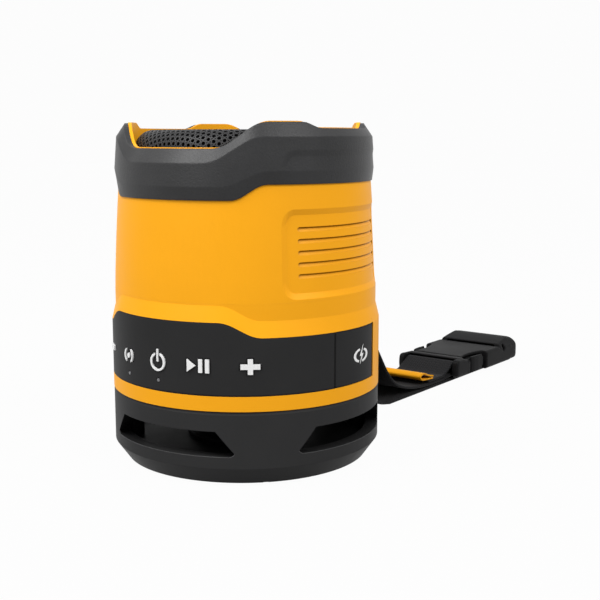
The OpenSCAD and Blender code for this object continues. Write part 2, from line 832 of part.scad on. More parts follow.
module light_pipes() {
    color("#dfe8f0") for (i = [1, 2]) radial(key_angles[i], panel_in_r - over, z_panel + light_lift)
        linear_extrude(panel_t + over + light_proud) circle(r = light_r, $fn = small_fn);
}

switch_w = 5;
switch_t = 1.2;
plunger_r = 1.3;
plunger_gap = 0.2;
plunger_t = key_flange_r - key_flange_t - key_travel - plunger_gap - key_board_r - switch_t;

module key_board() {
    color("#1f5a3a") arc_block(-key_board_angle, key_board_angle, key_board_r - key_board_t, key_board_r,
        key_z - key_board_h / 2, key_z + key_board_h / 2);
}

module tact_switches() {
    color("#3a3a3d") for (a = key_angles) {
        radial(a, key_board_r, key_z) linear_extrude(switch_t) square(switch_w, center = true);
        radial(a, key_board_r + switch_t / 2, key_z) linear_extrude(switch_t / 2 + plunger_t)
            circle(r = plunger_r, $fn = small_fn);
    }
}

cover_seam = 0.2;
cover_seam_angle = 0.12;
cover_z0 = z_panel + cover_seam / 2;
cover_z1 = z_panel_side - cover_seam / 2;
cover_bead_angle = 0.3;
cover_end_angle = hinge_angle - cover_bead_angle;

// The cover seen from above: a piece of the belt with a round bead along its hinge
module cover_plan() {
    middle = (cover_angle + cover_end_angle) / 2;
    reach = 2 * belt_r;
    intersection() {
        difference() {
            circle(r = belt_r, $fn = round_fn);
            circle(r = panel_in_r + fit_gap, $fn = round_fn);
        }
        polygon([
            [0, 0],
            [reach * sin(cover_angle + cover_seam_angle), -reach * cos(cover_angle + cover_seam_angle)],
            [reach * sin(middle), -reach * cos(middle)],
            [reach * sin(cover_end_angle), -reach * cos(cover_end_angle)]
        ]);
    }
    translate([hinge_r * sin(hinge_angle), -hinge_r * cos(hinge_angle)])
        circle(r = hinge_bead_r, $fn = small_fn);
}

module usb_cover() {
    color("#1b1b1d") {
        translate([0, 0, cover_z0]) linear_extrude(cover_z1 - cover_z0) cover_plan();
        for (z = [cover_z0 - hinge_pin_l, cover_z1 - hinge_pin_l]) translate(at(hinge_angle, hinge_r, z))
            cylinder(r = hinge_pin_r, h = 2 * hinge_pin_l, $fn = small_fn);
    }
}

module usb_shape(w, h) {
    square([w - h, h], center = true);
    for (side = [-1, 1]) translate([side * (w - h) / 2, 0]) circle(d = h, $fn = small_fn);
}

usb_wall = 0.35;
usb_tongue_h = 0.8;

module usb_socket() {
    color("silver") radial(usb_angle, usb_out_r - usb_l, key_z) difference() {
        linear_extrude(usb_l) usb_shape(usb_w, usb_h);
        translate([0, 0, over]) linear_extrude(usb_l) usb_shape(usb_w - 2 * usb_wall, usb_h - 2 * usb_wall);
    }
}

module usb_tongue() {
    color("#2a2a2c") radial(usb_angle, usb_out_r - usb_l + over, key_z) linear_extrude(usb_l - 1.5 * over)
        square([usb_w - usb_h, usb_tongue_h], center = true);
}

module usb_board() {
    color("#1f5a3a") rotate([0, 0, usb_angle]) translate([-usb_board_w / 2, -usb_board_r, usb_board_z])
        cube([usb_board_w, usb_board_l, usb_board_t]);
}

// Battery and electronics

cell_r = 9;
cell_l = 65;
cell_pitch = 19.2;
tray_wall = 1.8;
cell_gap = 0.15;
cell_end_gap = 0.3;
tray_side = 1;
tray_l = cell_l + 2 * tray_wall + 2 * cell_end_gap;
tray_w = cell_pitch + 2 * cell_r + 2 * tray_side;
board_tray_gap = 1.3;
usb_board_l = usb_board_r - tray_l / 2 - board_tray_gap;
leg_r = 2;
tray_leg = 4.7;
radiator_frame_t = 2.8;
z_tray = base_h + radiator_frame_t + tray_leg;
tray_floor = 2;
z_cell = z_tray + tray_floor + cell_r + cell_gap;
board_lift = 4;
tray_end_h = tray_floor + 2 * cell_r + board_lift;
board_t = 1.6;
board_gap = 1.1;
board_r = channel_back_y - channel_pad - board_gap;
z_board = z_tray + tray_end_h;
leg_x = 25;

module battery_tray() {
    color("#2b2b2e") {
        difference() {
            translate([-tray_l / 2, -tray_w / 2, z_tray]) cube([tray_l, tray_w, tray_floor + cell_r]);
            for (side = [-1, 1]) translate([-tray_l / 2 + tray_wall, side * cell_pitch / 2, z_cell])
                rotate([0, 90, 0])
                    cylinder(r = cell_r + cell_gap, h = tray_l - 2 * tray_wall, $fn = round_fn);
        }
        for (x = [-tray_l / 2, tray_l / 2 - tray_wall]) translate([x, -tray_w / 4, z_tray])
            cube([tray_wall, tray_w / 2, tray_end_h]);
        for (sx = [-1, 1]) for (sy = [-1, 1])
            translate([sx * leg_x, sy * (tray_w / 2 - leg_r), z_tray - tray_leg])
                cylinder(r = leg_r, h = tray_leg + tray_floor, $fn = small_fn);
    }
}

module battery_cells() {
    color("#3f6fa8") for (side = [-1, 1]) translate([-cell_l / 2, side * cell_pitch / 2, z_cell])
        rotate([0, 90, 0]) cylinder(r = cell_r, h = cell_l, $fn = round_fn);
}

module main_board() {
    color("#1f5a3a") translate([0, 0, z_board]) cylinder(r = board_r, h = board_t, $fn = round_fn);
}

chip_w = 12;
chip_t = 1.4;
can_r = 3.2;
can_h = 7;
can_gap = 2.8;
can_angles = [65, 90, 115];
choke_w = 7;
choke_h = 3.2;
plug_box = [12, 5, 5];
part_pitch = 9;

module board_parts() {
    color("#2e2e31") translate([0, 0, z_board + board_t]) {
        translate([-chip_w, -chip_w / 2, 0]) cube([chip_w, chip_w, chip_t]);
        translate([chip_w / 2, part_pitch, 0]) cube([part_pitch, part_pitch, chip_t]);
        for (a = can_angles) translate(at(a, magnet_r + can_r + can_gap, 0))
            cylinder(r = can_r, h = can_h, $fn = small_fn);
        for (i = [0:1]) translate([-2 * chip_w, part_pitch * (i + 0.5), 0])
            cube([choke_w, choke_w, choke_h]);
        translate([-part_pitch, 2.5 * part_pitch, 0]) cube(plug_box);
    }
}

// Driver, facing up

gasket_t = 0.5;
flange_t = 1.5;
flange_screw_inset = 2.2;
driver_screw_r = driver_r - flange_screw_inset;
z_flange = z_top + gasket_t;
z_seat = z_flange + flange_t;
basket_t = 1.2;
yoke_t = 3.5;
magnet_h = 8;
top_plate_t = 2.8;
z_yoke = z_seat - driver_depth - yoke_t;
z_plate = z_yoke + yoke_t + magnet_h;
z_basket = z_plate + top_plate_t;
basket_lap = 0.6;
basket_gap = 0.7;
basket_lip_h = 0.3;
basket_window_w = 16;
basket_window_h = 6;
basket_low_r = magnet_r + basket_lap;
basket_in_r = driver_hole_r - basket_gap - basket_t;
coil_t = 0.7;
coil_gap = 0.5;
pole_r = coil_r - coil_t - coil_gap;
plate_in_r = coil_r + coil_gap;
plate_inset = 1;
magnet_gap = 1.5;
basket_hole_r = plate_in_r + plate_inset;
coil_low = 3.2;
coil_rise = 5.7;
z_coil_top = z_basket + coil_rise;
cone_t = 0.8;
spider_lift = 2;
spider_t = 0.6;
spider_gap = 0.2;
spider_lap = 0.3;

module driver_gasket() {
    color("#2c2c2e") difference() {
        ring(driver_hole_r, driver_r, z_top, z_flange);
        for (a = post_angles) translate(at(a, driver_screw_r, z_top - over))
            cylinder(r = base_bore_r, h = gasket_t + 2 * over, $fn = small_fn);
    }
}

module driver_basket() {
    color("#46464a") difference() {
        rotate_extrude($fn = round_fn) polygon([
            [driver_r, z_flange],
            [driver_r, z_seat],
            [basket_in_r, z_seat],
            [basket_in_r, z_flange],
            [basket_low_r - basket_t, z_basket + basket_t],
            [basket_hole_r, z_basket + basket_t],
            [basket_hole_r, z_basket],
            [basket_low_r, z_basket],
            [basket_in_r + basket_t, z_flange - basket_lip_h],
            [basket_in_r + basket_t, z_flange]
        ]);
        for (a = side_angles) rotate([0, 0, a])
            translate([-basket_window_w / 2, -driver_r, z_basket + basket_window_h])
                cube([basket_window_w, driver_r, basket_window_h]);
        for (a = post_angles) translate(at(a, driver_screw_r, z_flange - over))
            cylinder(r = base_bore_r, h = flange_t + 2 * over, $fn = small_fn);
    }
}

module driver_top_plate() {
    color("#8d9096") ring(plate_in_r, magnet_r - plate_inset, z_plate, z_basket);
}

module driver_magnet() {
    color("#3b3b3f") ring(plate_in_r + magnet_gap, magnet_r, z_yoke + yoke_t, z_plate);
}

module driver_yoke() {
    color("#8d9096") translate([0, 0, z_yoke]) {
        cylinder(r = magnet_r - plate_inset, h = yoke_t, $fn = round_fn);
        cylinder(r = pole_r, h = z_basket - z_yoke, $fn = round_fn);
    }
}

module voice_coil() {
    color("#b87333") ring(coil_r - coil_t, coil_r, z_yoke + yoke_t + coil_low, z_coil_top);
}

module spider() {
    z = z_basket + spider_lift;
    color("#c9a35a") ring(coil_r + spider_gap, basket_low_r - basket_t + spider_lap, z, z + spider_t);
}

module driver_cone() {
    color("#2a2a2d") rotate_extrude($fn = round_fn) polygon([
        [coil_r, z_coil_top - 2 * cone_t],
        [cone_r, z_seat - cone_t],
        [cone_r, z_seat],
        [cone_r - 2 * cone_t, z_seat],
        [coil_r, z_coil_top]
    ]);
}

cap_lap = 1.1;
cap_r = coil_r + cap_lap;
cap_h = 3;
cap_edge_t = 0.6;
cap_top_t = 0.5;
cap_gap = 0.15;
cap_steps = 8;

// Curve of the cap from its rim to its middle
function cap_line(r, h, z) =
    [for (i = [0:cap_steps]) let (t = 1 - i / cap_steps) [r * t, z + h * (1 - t * t)]];

module dust_cap() {
    cone_slope = (z_seat - z_coil_top) / (cone_r - 2 * cone_t - coil_r);
    z_rim = z_coil_top + cap_gap + cap_lap * cone_slope;
    inside = cap_line(cap_r - cap_edge_t, cap_h - cap_top_t, z_rim);
    color("#1e1e20") rotate_extrude($fn = round_fn) polygon(concat(
        cap_line(cap_r, cap_h, z_rim),
        [for (i = [cap_steps:-1:0]) inside[i]]
    ));
}

roll_t = 0.5;
foot_w = 0.8;
cone_lap = 0.1;

// Half-round roll of rubber between two radii, with a flat foot at each side
module roll(r0, r1, z) {
    centre = [(r0 + r1) / 2, z + roll_t];
    r = (r1 - r0) / 2;
    rotate_extrude($fn = round_fn) polygon(concat(
        [[r0 - foot_w, z], [r0 + roll_t, z]],
        arc(centre, r - roll_t, 180, 0, 8),
        [[r1 - roll_t, z], [r1 + foot_w, z], [r1 + foot_w, z + roll_t]],
        arc(centre, r, 0, 180, 8),
        [[r0 - foot_w, z + roll_t]]
    ));
}

module driver_surround() {
    color("#141415") roll(cone_r - cone_lap, basket_in_r + basket_lip_h, z_seat);
}

module driver_screws() {
    color("#3a3a3c") for (a = post_angles) translate(at(a, driver_screw_r, z_seat))
        screw(flange_t + gasket_t + baffle_t);
}

// Passive radiator, facing down into the cage

radiator_roll_w = 5;
radiator_in_r = radiator_r + radiator_roll_w;
roll_lap = 0.2;
radiator_screw_inset = 3.6;
radiator_screw_r = radiator_frame_r - radiator_screw_inset;
radiator_screw_l = 5;
radiator_screw_gap = 0.3;
radiator_inset = 0.4;
radiator_pocket_d = 0.8;
z_radiator = base_h + radiator_frame_t;

module radiator_frame() {
    color("#2b2b2e") difference() {
        ring(radiator_in_r, radiator_frame_r, base_h, z_radiator);
        for (a = side_angles) translate(at(a, radiator_screw_r, base_h - over))
            cylinder(r = base_bore_r, h = radiator_frame_t + 2 * over, $fn = small_fn);
    }
}

module radiator_plate() {
    color("#6d7076") translate([0, 0, base_h + radiator_inset]) difference() {
        cylinder(r = radiator_r, h = radiator_frame_t - radiator_inset, $fn = round_fn);
        translate([0, 0, -over]) cylinder(r = radiator_r / 2, h = over + radiator_pocket_d, $fn = round_fn);
    }
}

module radiator_surround() {
    color("#141415") roll(radiator_r - roll_lap, radiator_in_r + roll_lap, z_radiator);
}

module radiator_screws() {
    color("#3a3a3c") for (a = side_angles) translate(at(a, radiator_screw_r, z_radiator))
        screw(radiator_frame_t + radiator_screw_l - radiator_screw_gap);
}

// Strap bracket in the rear of the belt

module bracket_slot(z) {
    translate([-bracket_slot_w / 2, 0, z - bracket_slot_h / 2])
        cube([bracket_slot_w, belt_r + over, bracket_slot_h]);
}

module strap_bracket() {
    color("#1d1d1f") difference() {
        intersection() {
            ring(bracket_back_r, belt_r, bracket_z0 - over, bracket_z1 + over);
            bracket_outline(0);
        }
        bracket_slot(slot_low_z);
        bracket_slot(slot_high_z);
        for (side = [-1, 1])
            radial(180 + side * bracket_screw_angle, bracket_back_r - over, bracket_screw_z) {
                linear_extrude(bracket_t + 2 * over) circle(r = base_bore_r, $fn = small_fn);
                translate([0, 0, over + bracket_t - screw_head_h]) linear_extrude(screw_head_h + over)
                    circle(r = bracket_head_r + fit_gap, $fn = small_fn);
            }
    }
}

bracket_head_r = 1.8;
bracket_screw_l = 4;
bracket_head_sink = 0.2;

module bracket_screws() {
    color("#3a3a3c") for (side = [-1, 1])
        radial(180 + side * bracket_screw_angle, belt_r - screw_head_h, bracket_screw_z) {
            translate([0, 0, -bracket_screw_l])
                cylinder(r = screw_r, h = bracket_screw_l + over / 2, $fn = small_fn);
            difference() {
                cylinder(r = bracket_head_r, h = screw_head_h - bracket_head_sink, $fn = small_fn);
                translate([0, 0, screw_head_h / 2]) cylinder(r = screw_r * 0.7, h = screw_head_h, $fn = 6);
            }
        }
}

// Strap: the middle line of the webbing in the plane that runs straight back, as y and z

half_t = strap_t / 2;
strap_gap = 0.3;
lie_gap = 0.1;
z_under = strap_t + lie_gap;
plug_y = belt_r + strap_reach;
socket_gap = 0.3;
socket_y = plug_y + plug_l + socket_gap;
socket_end_y = socket_y + socket_l;
run_gap = 0.75;
run_y = channel_back_y + half_t + run_gap;
run_join_z = (slot_low_z + slot_high_z) / 2;
bend_r = 3;
curve_steps = 6;

// Smooth curve through a list of points
function curve_point(p0, p1, p2, p3, t) =
    0.5 * (2 * p1 + (p2 - p0) * t + (2 * p0 - 5 * p1 + 4 * p2 - p3) * t * t
        + (3 * p1 - p0 - 3 * p2 + p3) * t * t * t);
function curve(p) =
    let (n = len(p), q = concat([2 * p[0] - p[1]], p, [2 * p[n - 1] - p[n - 2]]))
    concat([for (i = [0:n - 2]) for (k = [0:curve_steps - 1])
        curve_point(q[i], q[i + 1], q[i + 2], q[i + 3], k / curve_steps)], [p[n - 1]]);
// Outline of a band of the webbing's thickness along a line of points
function unit(v) = v / norm(v);
function side_of(p, i) =
    let (n = len(p), d = unit(p[min(i + 1, n - 1)] - p[max(i - 1, 0)]))
    [-d[1], d[0]];
function band(p, t) = concat(
    [for (i = [0:len(p) - 1]) p[i] + side_of(p, i) * t / 2],
    [for (i = [len(p) - 1:-1:0]) p[i] - side_of(p, i) * t / 2]);

// Extrudes an outline in the y-z plane across the strap
module across(w) {
    translate([-w / 2, 0, 0]) rotate([90, 0, 90]) linear_extrude(w) children();
}

bar_r = 1.7;
bar_inset = 4;
bar_y = plug_y + bar_inset;
bar_z = z_under + buckle_t / 2 - strap_gap / 2;
loop_r = bar_r + strap_gap + half_t;
socket_bar_r = 2;
socket_bar_inset = 8;
socket_bar_lift = 5;
socket_bar_y = socket_end_y - socket_bar_inset;
socket_bar_z = z_under + socket_bar_lift;
socket_loop_r = socket_bar_r + strap_gap + half_t;
strap_lie_z = z_under + half_t + lie_gap;

// Where the hanging parts of the strap run: shares of their reach and of their fall
lower_reach = 35;
upper_reach = 62;
lower_fall = [[0.11, 0.94], [0.31, 0.55], [0.54, 0.23], [0.77, 0.06], [1, 0]];
upper_fall = [[0.065, 0.98], [0.21, 0.85], [0.4, 0.5], [0.58, 0.19], [0.76, 0.065], [1, 0.01]];
lower_drop = [for (p = lower_fall) [belt_r + p[0] * lower_reach, half_t + p[1] * (slot_low_z - half_t)]];
upper_drop = [for (p = upper_fall)
    [belt_r + p[0] * upper_reach, strap_lie_z + p[1] * (slot_high_z - strap_lie_z)]];
loop_start = 4 * loop_r;

module lower_strap() {
    line = concat(
        [[run_y, run_join_z]],
        arc([run_y + bend_r, slot_low_z + bend_r], bend_r, 180, 270, 5),
        curve(concat([[belt_r - half_t, slot_low_z]], lower_drop)),
        [
            [ridge_y - socket_loop_r, half_t],
            [ridge_y + socket_loop_r / 2, half_t + lie_gap]
        ],
        arc([socket_bar_y, socket_bar_z], socket_loop_r, -100, 170, 14)
    );
    color("#17171a") strapped() across(strap_w) polygon(band(line, strap_t));
}

module upper_strap() {
    line = concat(
        [[run_y, run_join_z]],
        arc([run_y + bend_r, slot_high_z - bend_r], bend_r, 180, 90, 5),
        curve(concat([[belt_r - half_t, slot_high_z]], upper_drop, [[bar_y - loop_start, strap_lie_z]])),
        arc([bar_y, bar_z], loop_r, -100, 0, 8)
    );
    color("#17171a") strapped() across(strap_w) polygon(band(line, strap_t));
}

tail_l = 20;
tail_end_y = plug_y - tail_l;
tail_gap = 0.25;
tail_z = strap_lie_z + strap_t + tail_gap;
tail_leave = 118;
tail_foot = 3.7 * loop_r;

module strap_tail() {
    off = [bar_y + loop_r * cos(tail_leave), bar_z + loop_r * sin(tail_leave)];
    foot = [bar_y - tail_foot, tail_z];
    line = concat(
        arc([bar_y, bar_z], loop_r, 6, tail_leave - 10, 8),
        curve([
            off,
            off + 0.4 * (foot - off),
            off + 0.75 * (foot - off),
            foot - [0.08 * tail_foot, 0],
            foot - [0.4 * tail_foot, 0],
            [tail_end_y, tail_z]
        ])
    );
    color("#17171a") strapped() across(strap_w) polygon(band(line, strap_t));
}

tab_t = 0.7;
tab_gap = 0.1;
tab_h = 2.9;
tab_lap = 4;

// Folded tab on the end of the tail: a strip whose ends meet on the tail, in the shape of a drop
module strap_tab() {
    foot = [tail_end_y + tab_lap, tail_z + half_t + tab_gap + tab_t / 2];
    fold_line = [[0, 0.29], [0.34, 0.62], [0.7, 1.15], [0.94, 0.85], [0.82, 0.3], [0.45, 0.12], [0.03, 0]];
    line = curve([for (p = fold_line) foot + [-p[0] * tab_l, p[1] * tab_h]]);
    color("#f2a913") strapped() across(strap_w) polygon(band(line, tab_t));
}

// Buckle

buckle_z0 = z_under;
buckle_z1 = z_under + buckle_t;
plate_t = 1.7;
cavity_gap = 0.3;
cavity_z0 = buckle_z0 + plate_t;
cavity_z1 = buckle_z1 - plate_t;
mouth_w = strap_w + 2 * lie_gap;
waist_inset = 0.8;
waist_x = strap_w / 2 - waist_inset;
scallop_r = 30;
scallop_mid = 7.8;
scallop_l = 18.6;
scallop_y = socket_y + scallop_mid;
scallop_end_y = socket_y + scallop_l;
arm_room = 3;
cavity_l = arm_l + arm_room;
corner_r = 3;
strap_side = 0.5;
cheek_t = (buckle_w - strap_w) / 2 - strap_side;
ridge_gap = 3.5;
ridge_y = socket_y + cavity_l + ridge_gap;
ridge_h = 0.9;
groove_w = 1.4;
groove_cut_d = 0.8;
socket_top_z = buckle_z1 + socket_end_rise;
end_wall = 3;
end_window_z = buckle_z1 + lie_gap;
side_slot_gap = 2.6;
side_slot_y = ridge_y + side_slot_gap;
side_slot_w = 2;
side_slot_h = 2.8;
edge_cut = 0.9;
end_lean = 2.4;

// The socket from above: narrow plates at the mouth, full width behind the finger scallops
module socket_plan() {
    half = buckle_w / 2;
    difference() {
        union() {
            translate([-half, socket_y]) square([buckle_w, socket_l - corner_r]);
            translate([-half + corner_r, socket_end_y - 2 * corner_r])
                square([buckle_w - 2 * corner_r, 2 * corner_r]);
            for (side = [-1, 1]) translate([side * (half - corner_r), socket_end_y - corner_r])
                circle(r = corner_r, $fn = small_fn);
        }
        for (side = [-1, 1]) intersection() {
            translate([side * (waist_x + scallop_r), scallop_y])
                circle(r = scallop_r, $fn = round_fn);
            translate([-buckle_w, socket_y - over]) square([2 * buckle_w, scallop_end_y - socket_y + over]);
        }
    }
}

// The socket from the side: a flat top, a groove and a raised round end
module socket_profile() {
    rise = socket_end_rise;
    back = curve([
        [ridge_y, buckle_z1 + ridge_h],
        [ridge_y + 2 * rise, socket_top_z - 0.25 * rise],
        [socket_end_y - 2.8 * rise, socket_top_z],
        [socket_end_y - 1.3 * rise, socket_top_z - 0.35 * rise],
        [socket_end_y - 0.4 * rise, socket_top_z - 1.2 * rise],
        [socket_end_y, socket_top_z - 2.2 * rise]
    ]);
    polygon(concat(
        [
            [socket_y - over, buckle_z0],
            [socket_y - over, buckle_z1],
            [ridge_y - groove_w, buckle_z1],
            [ridge_y - groove_w, buckle_z1 - groove_cut_d],
            [ridge_y, buckle_z1 - groove_cut_d]
        ],
        back,
        arc([socket_end_y - edge_cut, buckle_z0 + edge_cut], edge_cut, 0, -90, 4)
    ));
}

// The socket from the front: its long edges are broken and its raised end leans in
module socket_front() {
    half = buckle_w / 2;
    right = [
        [half - edge_cut, buckle_z0],
        [half, buckle_z0 + edge_cut],
        [half, buckle_z1 - edge_cut],
        [half - edge_cut, buckle_z1],
        [half - end_lean, socket_top_z]
    ];
    polygon(concat(right, [for (i = [len(right) - 1:-1:0]) [-right[i][0], right[i][1]]]));
}

module buckle_socket() {
    color("#1a1a1c") strapped() {
        difference() {
            intersection() {
                translate([0, 0, buckle_z0 - over])
                    linear_extrude(buckle_t + socket_end_rise + 2 * over) socket_plan();
                across(buckle_w + 2 * over) socket_profile();
                translate([0, socket_end_y + over, 0]) rotate([90, 0, 0])
                    linear_extrude(socket_l + 2 * over) socket_front();
            }
            translate([-mouth_w / 2, socket_y - over, cavity_z0])
                cube([mouth_w, cavity_l + over, cavity_z1 - cavity_z0]);
            translate([-buckle_w / 2 - over, socket_y - over, cavity_z0])
                cube([buckle_w + 2 * over, scallop_end_y - socket_y + over, cavity_z1 - cavity_z0]);
            translate([-buckle_w / 2 + cheek_t, ridge_y, buckle_z0 - over])
                cube([
                    buckle_w - 2 * cheek_t,
                    socket_end_y - end_wall - ridge_y,
                    end_window_z - buckle_z0 + over
                ]);
            translate([-buckle_w / 2 - over, side_slot_y, end_window_z - side_slot_h])
                cube([buckle_w + 2 * over, side_slot_w, side_slot_h]);
        }
        translate([0, socket_bar_y, socket_bar_z]) rotate([0, 90, 0])
            cylinder(r = socket_bar_r, h = buckle_w - cheek_t, center = true, $fn = small_fn);
    }
}

ear_gap = 0.5;
ear_t = 3;
ear_tail = 4.2;
ear_round = 2.2;
ear_fall = 1.4;
plug_w = strap_w + 2 * (ear_gap + ear_t);
beam_t = 1.8;
beam_y = plug_y + plug_l - beam_t;
hood_t = 0.9;
hood_lap = 1.2;
hood_y = bar_y + hood_lap;
plug_lift = 0.2;
plug_z0 = buckle_z0 + plug_lift;
tongue_w = 5;
tongue_short = 3;
tongue_l = arm_l - tongue_short;
blade_z0 = cavity_z0 + cavity_gap;
blade_h = cavity_z1 - cavity_z0 - 2 * cavity_gap;
arm_root_inset = 3.4;
arm_root_x = mouth_w / 2 - arm_root_inset;
arm_root_out = 1.2;
arm_root_y = plug_y + plug_l + arm_root_out;
arm_root_r = 1.25;
root_block = [4.4, 1.6];

// An ear of the plug from the side: a rounded lobe that reaches back beside the socket's mouth
module ear_profile() {
    back_y = plug_y + plug_l + ear_tail;
    polygon(concat(
        arc([plug_y + ear_round, plug_z0 + ear_round], ear_round, 270, 180, 5),
        arc([plug_y + ear_round, buckle_z1 - ear_round], ear_round, 180, 90, 5),
        arc([back_y - ear_round, buckle_z1 - ear_fall - ear_round], ear_round, 80, 0, 5),
        arc([back_y - ear_round, plug_z0 + ear_round], ear_round, 0, -90, 5)
    ));
}

module buckle_plug() {
    color("#1a1a1c") strapped() difference() {
        union() {
            for (side = [-1, 1]) translate([side * (plug_w - ear_t) / 2, 0, 0]) across(ear_t) ear_profile();
            across(plug_w - ear_t) polygon([
                [beam_y, plug_z0],
                [beam_y + beam_t, plug_z0],
                [beam_y + beam_t, buckle_z1 - lie_gap],
                [hood_y, buckle_z1 - lie_gap],
                [hood_y, buckle_z1 - lie_gap - hood_t],
                [beam_y, buckle_z1 - lie_gap - hood_t]
            ]);
            translate([0, bar_y, bar_z]) rotate([0, 90, 0])
                cylinder(r = bar_r, h = plug_w - ear_t, center = true, $fn = small_fn);
            translate([-tongue_w / 2, beam_y, blade_z0]) cube([tongue_w, beam_t + tongue_l, blade_h]);
            for (side = [-1, 1])
                translate([side * arm_root_x - root_block[0] / 2, arm_root_y - root_block[1], blade_z0])
                    cube([root_block[0], root_block[1], blade_h]);
        }
        for (side = [-1, 1]) translate([side * arm_root_x, arm_root_y, buckle_z0 - over])
            cylinder(r = arm_root_r + pin_gap, h = buckle_t + 2 * over, $fn = small_fn);
    }
}

arm_w = 2.2;
pad_inset = 0.5;
pad_x = buckle_w / 2 - pad_inset;
pad_t = 1.9;
pad_gap = 0.6;
pad_end_gap = 1.8;
pad_y = plug_y + plug_l + ear_tail + pad_gap;
pad_l = scallop_end_y - pad_y - pad_end_gap;
pad_high = 1.4;
pad_round = [0.7, 0.2, 0, 0.2, 0.6];
pad_places = [0, 0.2, 0.5, 0.85, 1];
pad_end_t = 0.9;
arm_tip_y = socket_y + arm_l;

// One springy arm, on the +X side, with a tall pad for the finger
module buckle_arm() {
    pad_end_y = pad_y + pad_l;
    back = [for (i = [0:4]) [pad_x - pad_round[i], pad_y + pad_places[i] * pad_l]];
    translate([0, 0, blade_z0]) linear_extrude(blade_h) union() {
        translate([arm_root_x, arm_root_y]) circle(r = arm_root_r, $fn = small_fn);
        polygon(concat(
            [
                [arm_root_x - arm_w / 2, arm_root_y],
                [arm_root_x + arm_w / 2, arm_root_y],
                [arm_root_x + 0.75 * arm_w, pad_y - cavity_gap]
            ],
            back,
            [
                [arm_root_x + 1.35 * arm_w, scallop_end_y - 2 * cavity_gap],
                [arm_root_x + 1.1 * arm_w, scallop_end_y],
                [arm_root_x + arm_w, arm_tip_y],
                [arm_root_x, arm_tip_y],
                [arm_root_x - cavity_gap, pad_end_y],
                [arm_root_x - cavity_gap, pad_y]
            ]
        ));
    }
    translate([0, 0, blade_z0 - pad_high]) linear_extrude(blade_h + 2 * pad_high) polygon(concat(
        [for (i = [0:3]) back[i]],
        [
            [pad_x - pad_end_t, pad_y + pad_places[3] * pad_l],
            [pad_x - 0.8 * pad_t, pad_y + pad_places[2] * pad_l],
            [pad_x - pad_t, pad_y]
        ]
    ));
}

module buckle_arm_left() {
    color("#222224") strapped() mirror([1, 0, 0]) buckle_arm();
}

module buckle_arm_right() {
    color("#222224") strapped() buckle_arm();
}

foot_ring();
base_cage();
sound_diffuser();
base_screws();
lower_housing();
upper_housing();
bumper();
crown_ring();
grille();
control_panel();
light_pipes();
key_board();
tact_switches();
key_minus();
key_pair();
key_power();
key_play();
key_plus();
usb_cover();
usb_socket();
usb_tongue();
usb_board();
battery_tray();
battery_cells();
main_board();
board_parts();
driver_gasket();
driver_basket();
driver_top_plate();
driver_magnet();
driver_yoke();
voice_coil();
spider();
driver_cone();
dust_cap();
driver_surround();
driver_screws();
radiator_frame();
radiator_plate();
radiator_surround();
radiator_screws();
strap_bracket();
bracket_screws();
lower_strap();
upper_strap();
strap_tail();
strap_tab();
buckle_socket();
buckle_plug();
buckle_arm_left();
buckle_arm_right();
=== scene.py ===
"""Looks of a compact rugged speaker: amber housing, bumper, key belt, windowed base, strap and buckle."""

import math

import bmesh
import bpy
from bpy.props import FloatProperty, FloatVectorProperty, IntProperty, PointerProperty
from mathutils import Matrix, Vector


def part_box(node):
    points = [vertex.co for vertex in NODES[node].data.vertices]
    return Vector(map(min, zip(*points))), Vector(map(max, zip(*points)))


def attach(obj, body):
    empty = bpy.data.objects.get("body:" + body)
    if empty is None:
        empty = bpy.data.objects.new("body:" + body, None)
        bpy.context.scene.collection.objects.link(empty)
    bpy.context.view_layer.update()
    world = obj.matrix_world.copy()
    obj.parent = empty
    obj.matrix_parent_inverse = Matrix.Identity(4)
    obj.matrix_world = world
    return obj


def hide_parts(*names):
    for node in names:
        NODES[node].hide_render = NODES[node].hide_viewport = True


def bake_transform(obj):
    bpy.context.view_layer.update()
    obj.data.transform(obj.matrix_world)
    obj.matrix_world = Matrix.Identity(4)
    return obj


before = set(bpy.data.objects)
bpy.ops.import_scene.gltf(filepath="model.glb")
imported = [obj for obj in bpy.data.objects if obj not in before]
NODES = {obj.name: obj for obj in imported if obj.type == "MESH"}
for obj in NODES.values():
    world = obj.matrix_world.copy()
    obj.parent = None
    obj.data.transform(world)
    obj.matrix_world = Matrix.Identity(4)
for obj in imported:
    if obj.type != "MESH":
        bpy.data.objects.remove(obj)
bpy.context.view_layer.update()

bl_info = {
    "name": "Rugged speaker",
    "version": (1, 0, 0),
    "blender": (4, 5, 0),
    "location": "View3D > Sidebar > Speaker",
    "description": "Dresses the packed speaker with its finishes, grille, strap and stage",
    "category": "Object",
}

MM = 0.001

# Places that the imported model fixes, in millimetres
BELT_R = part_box("lower_housing")[1][0] / MM
HOUSING_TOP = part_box("upper_housing")[1][2] / MM
GRILLE_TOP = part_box("grille")[1][2] / MM
GRILLE_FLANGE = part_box("grille")[1][0] / MM
SOCKET_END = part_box("buckle_socket")[1][1] / MM


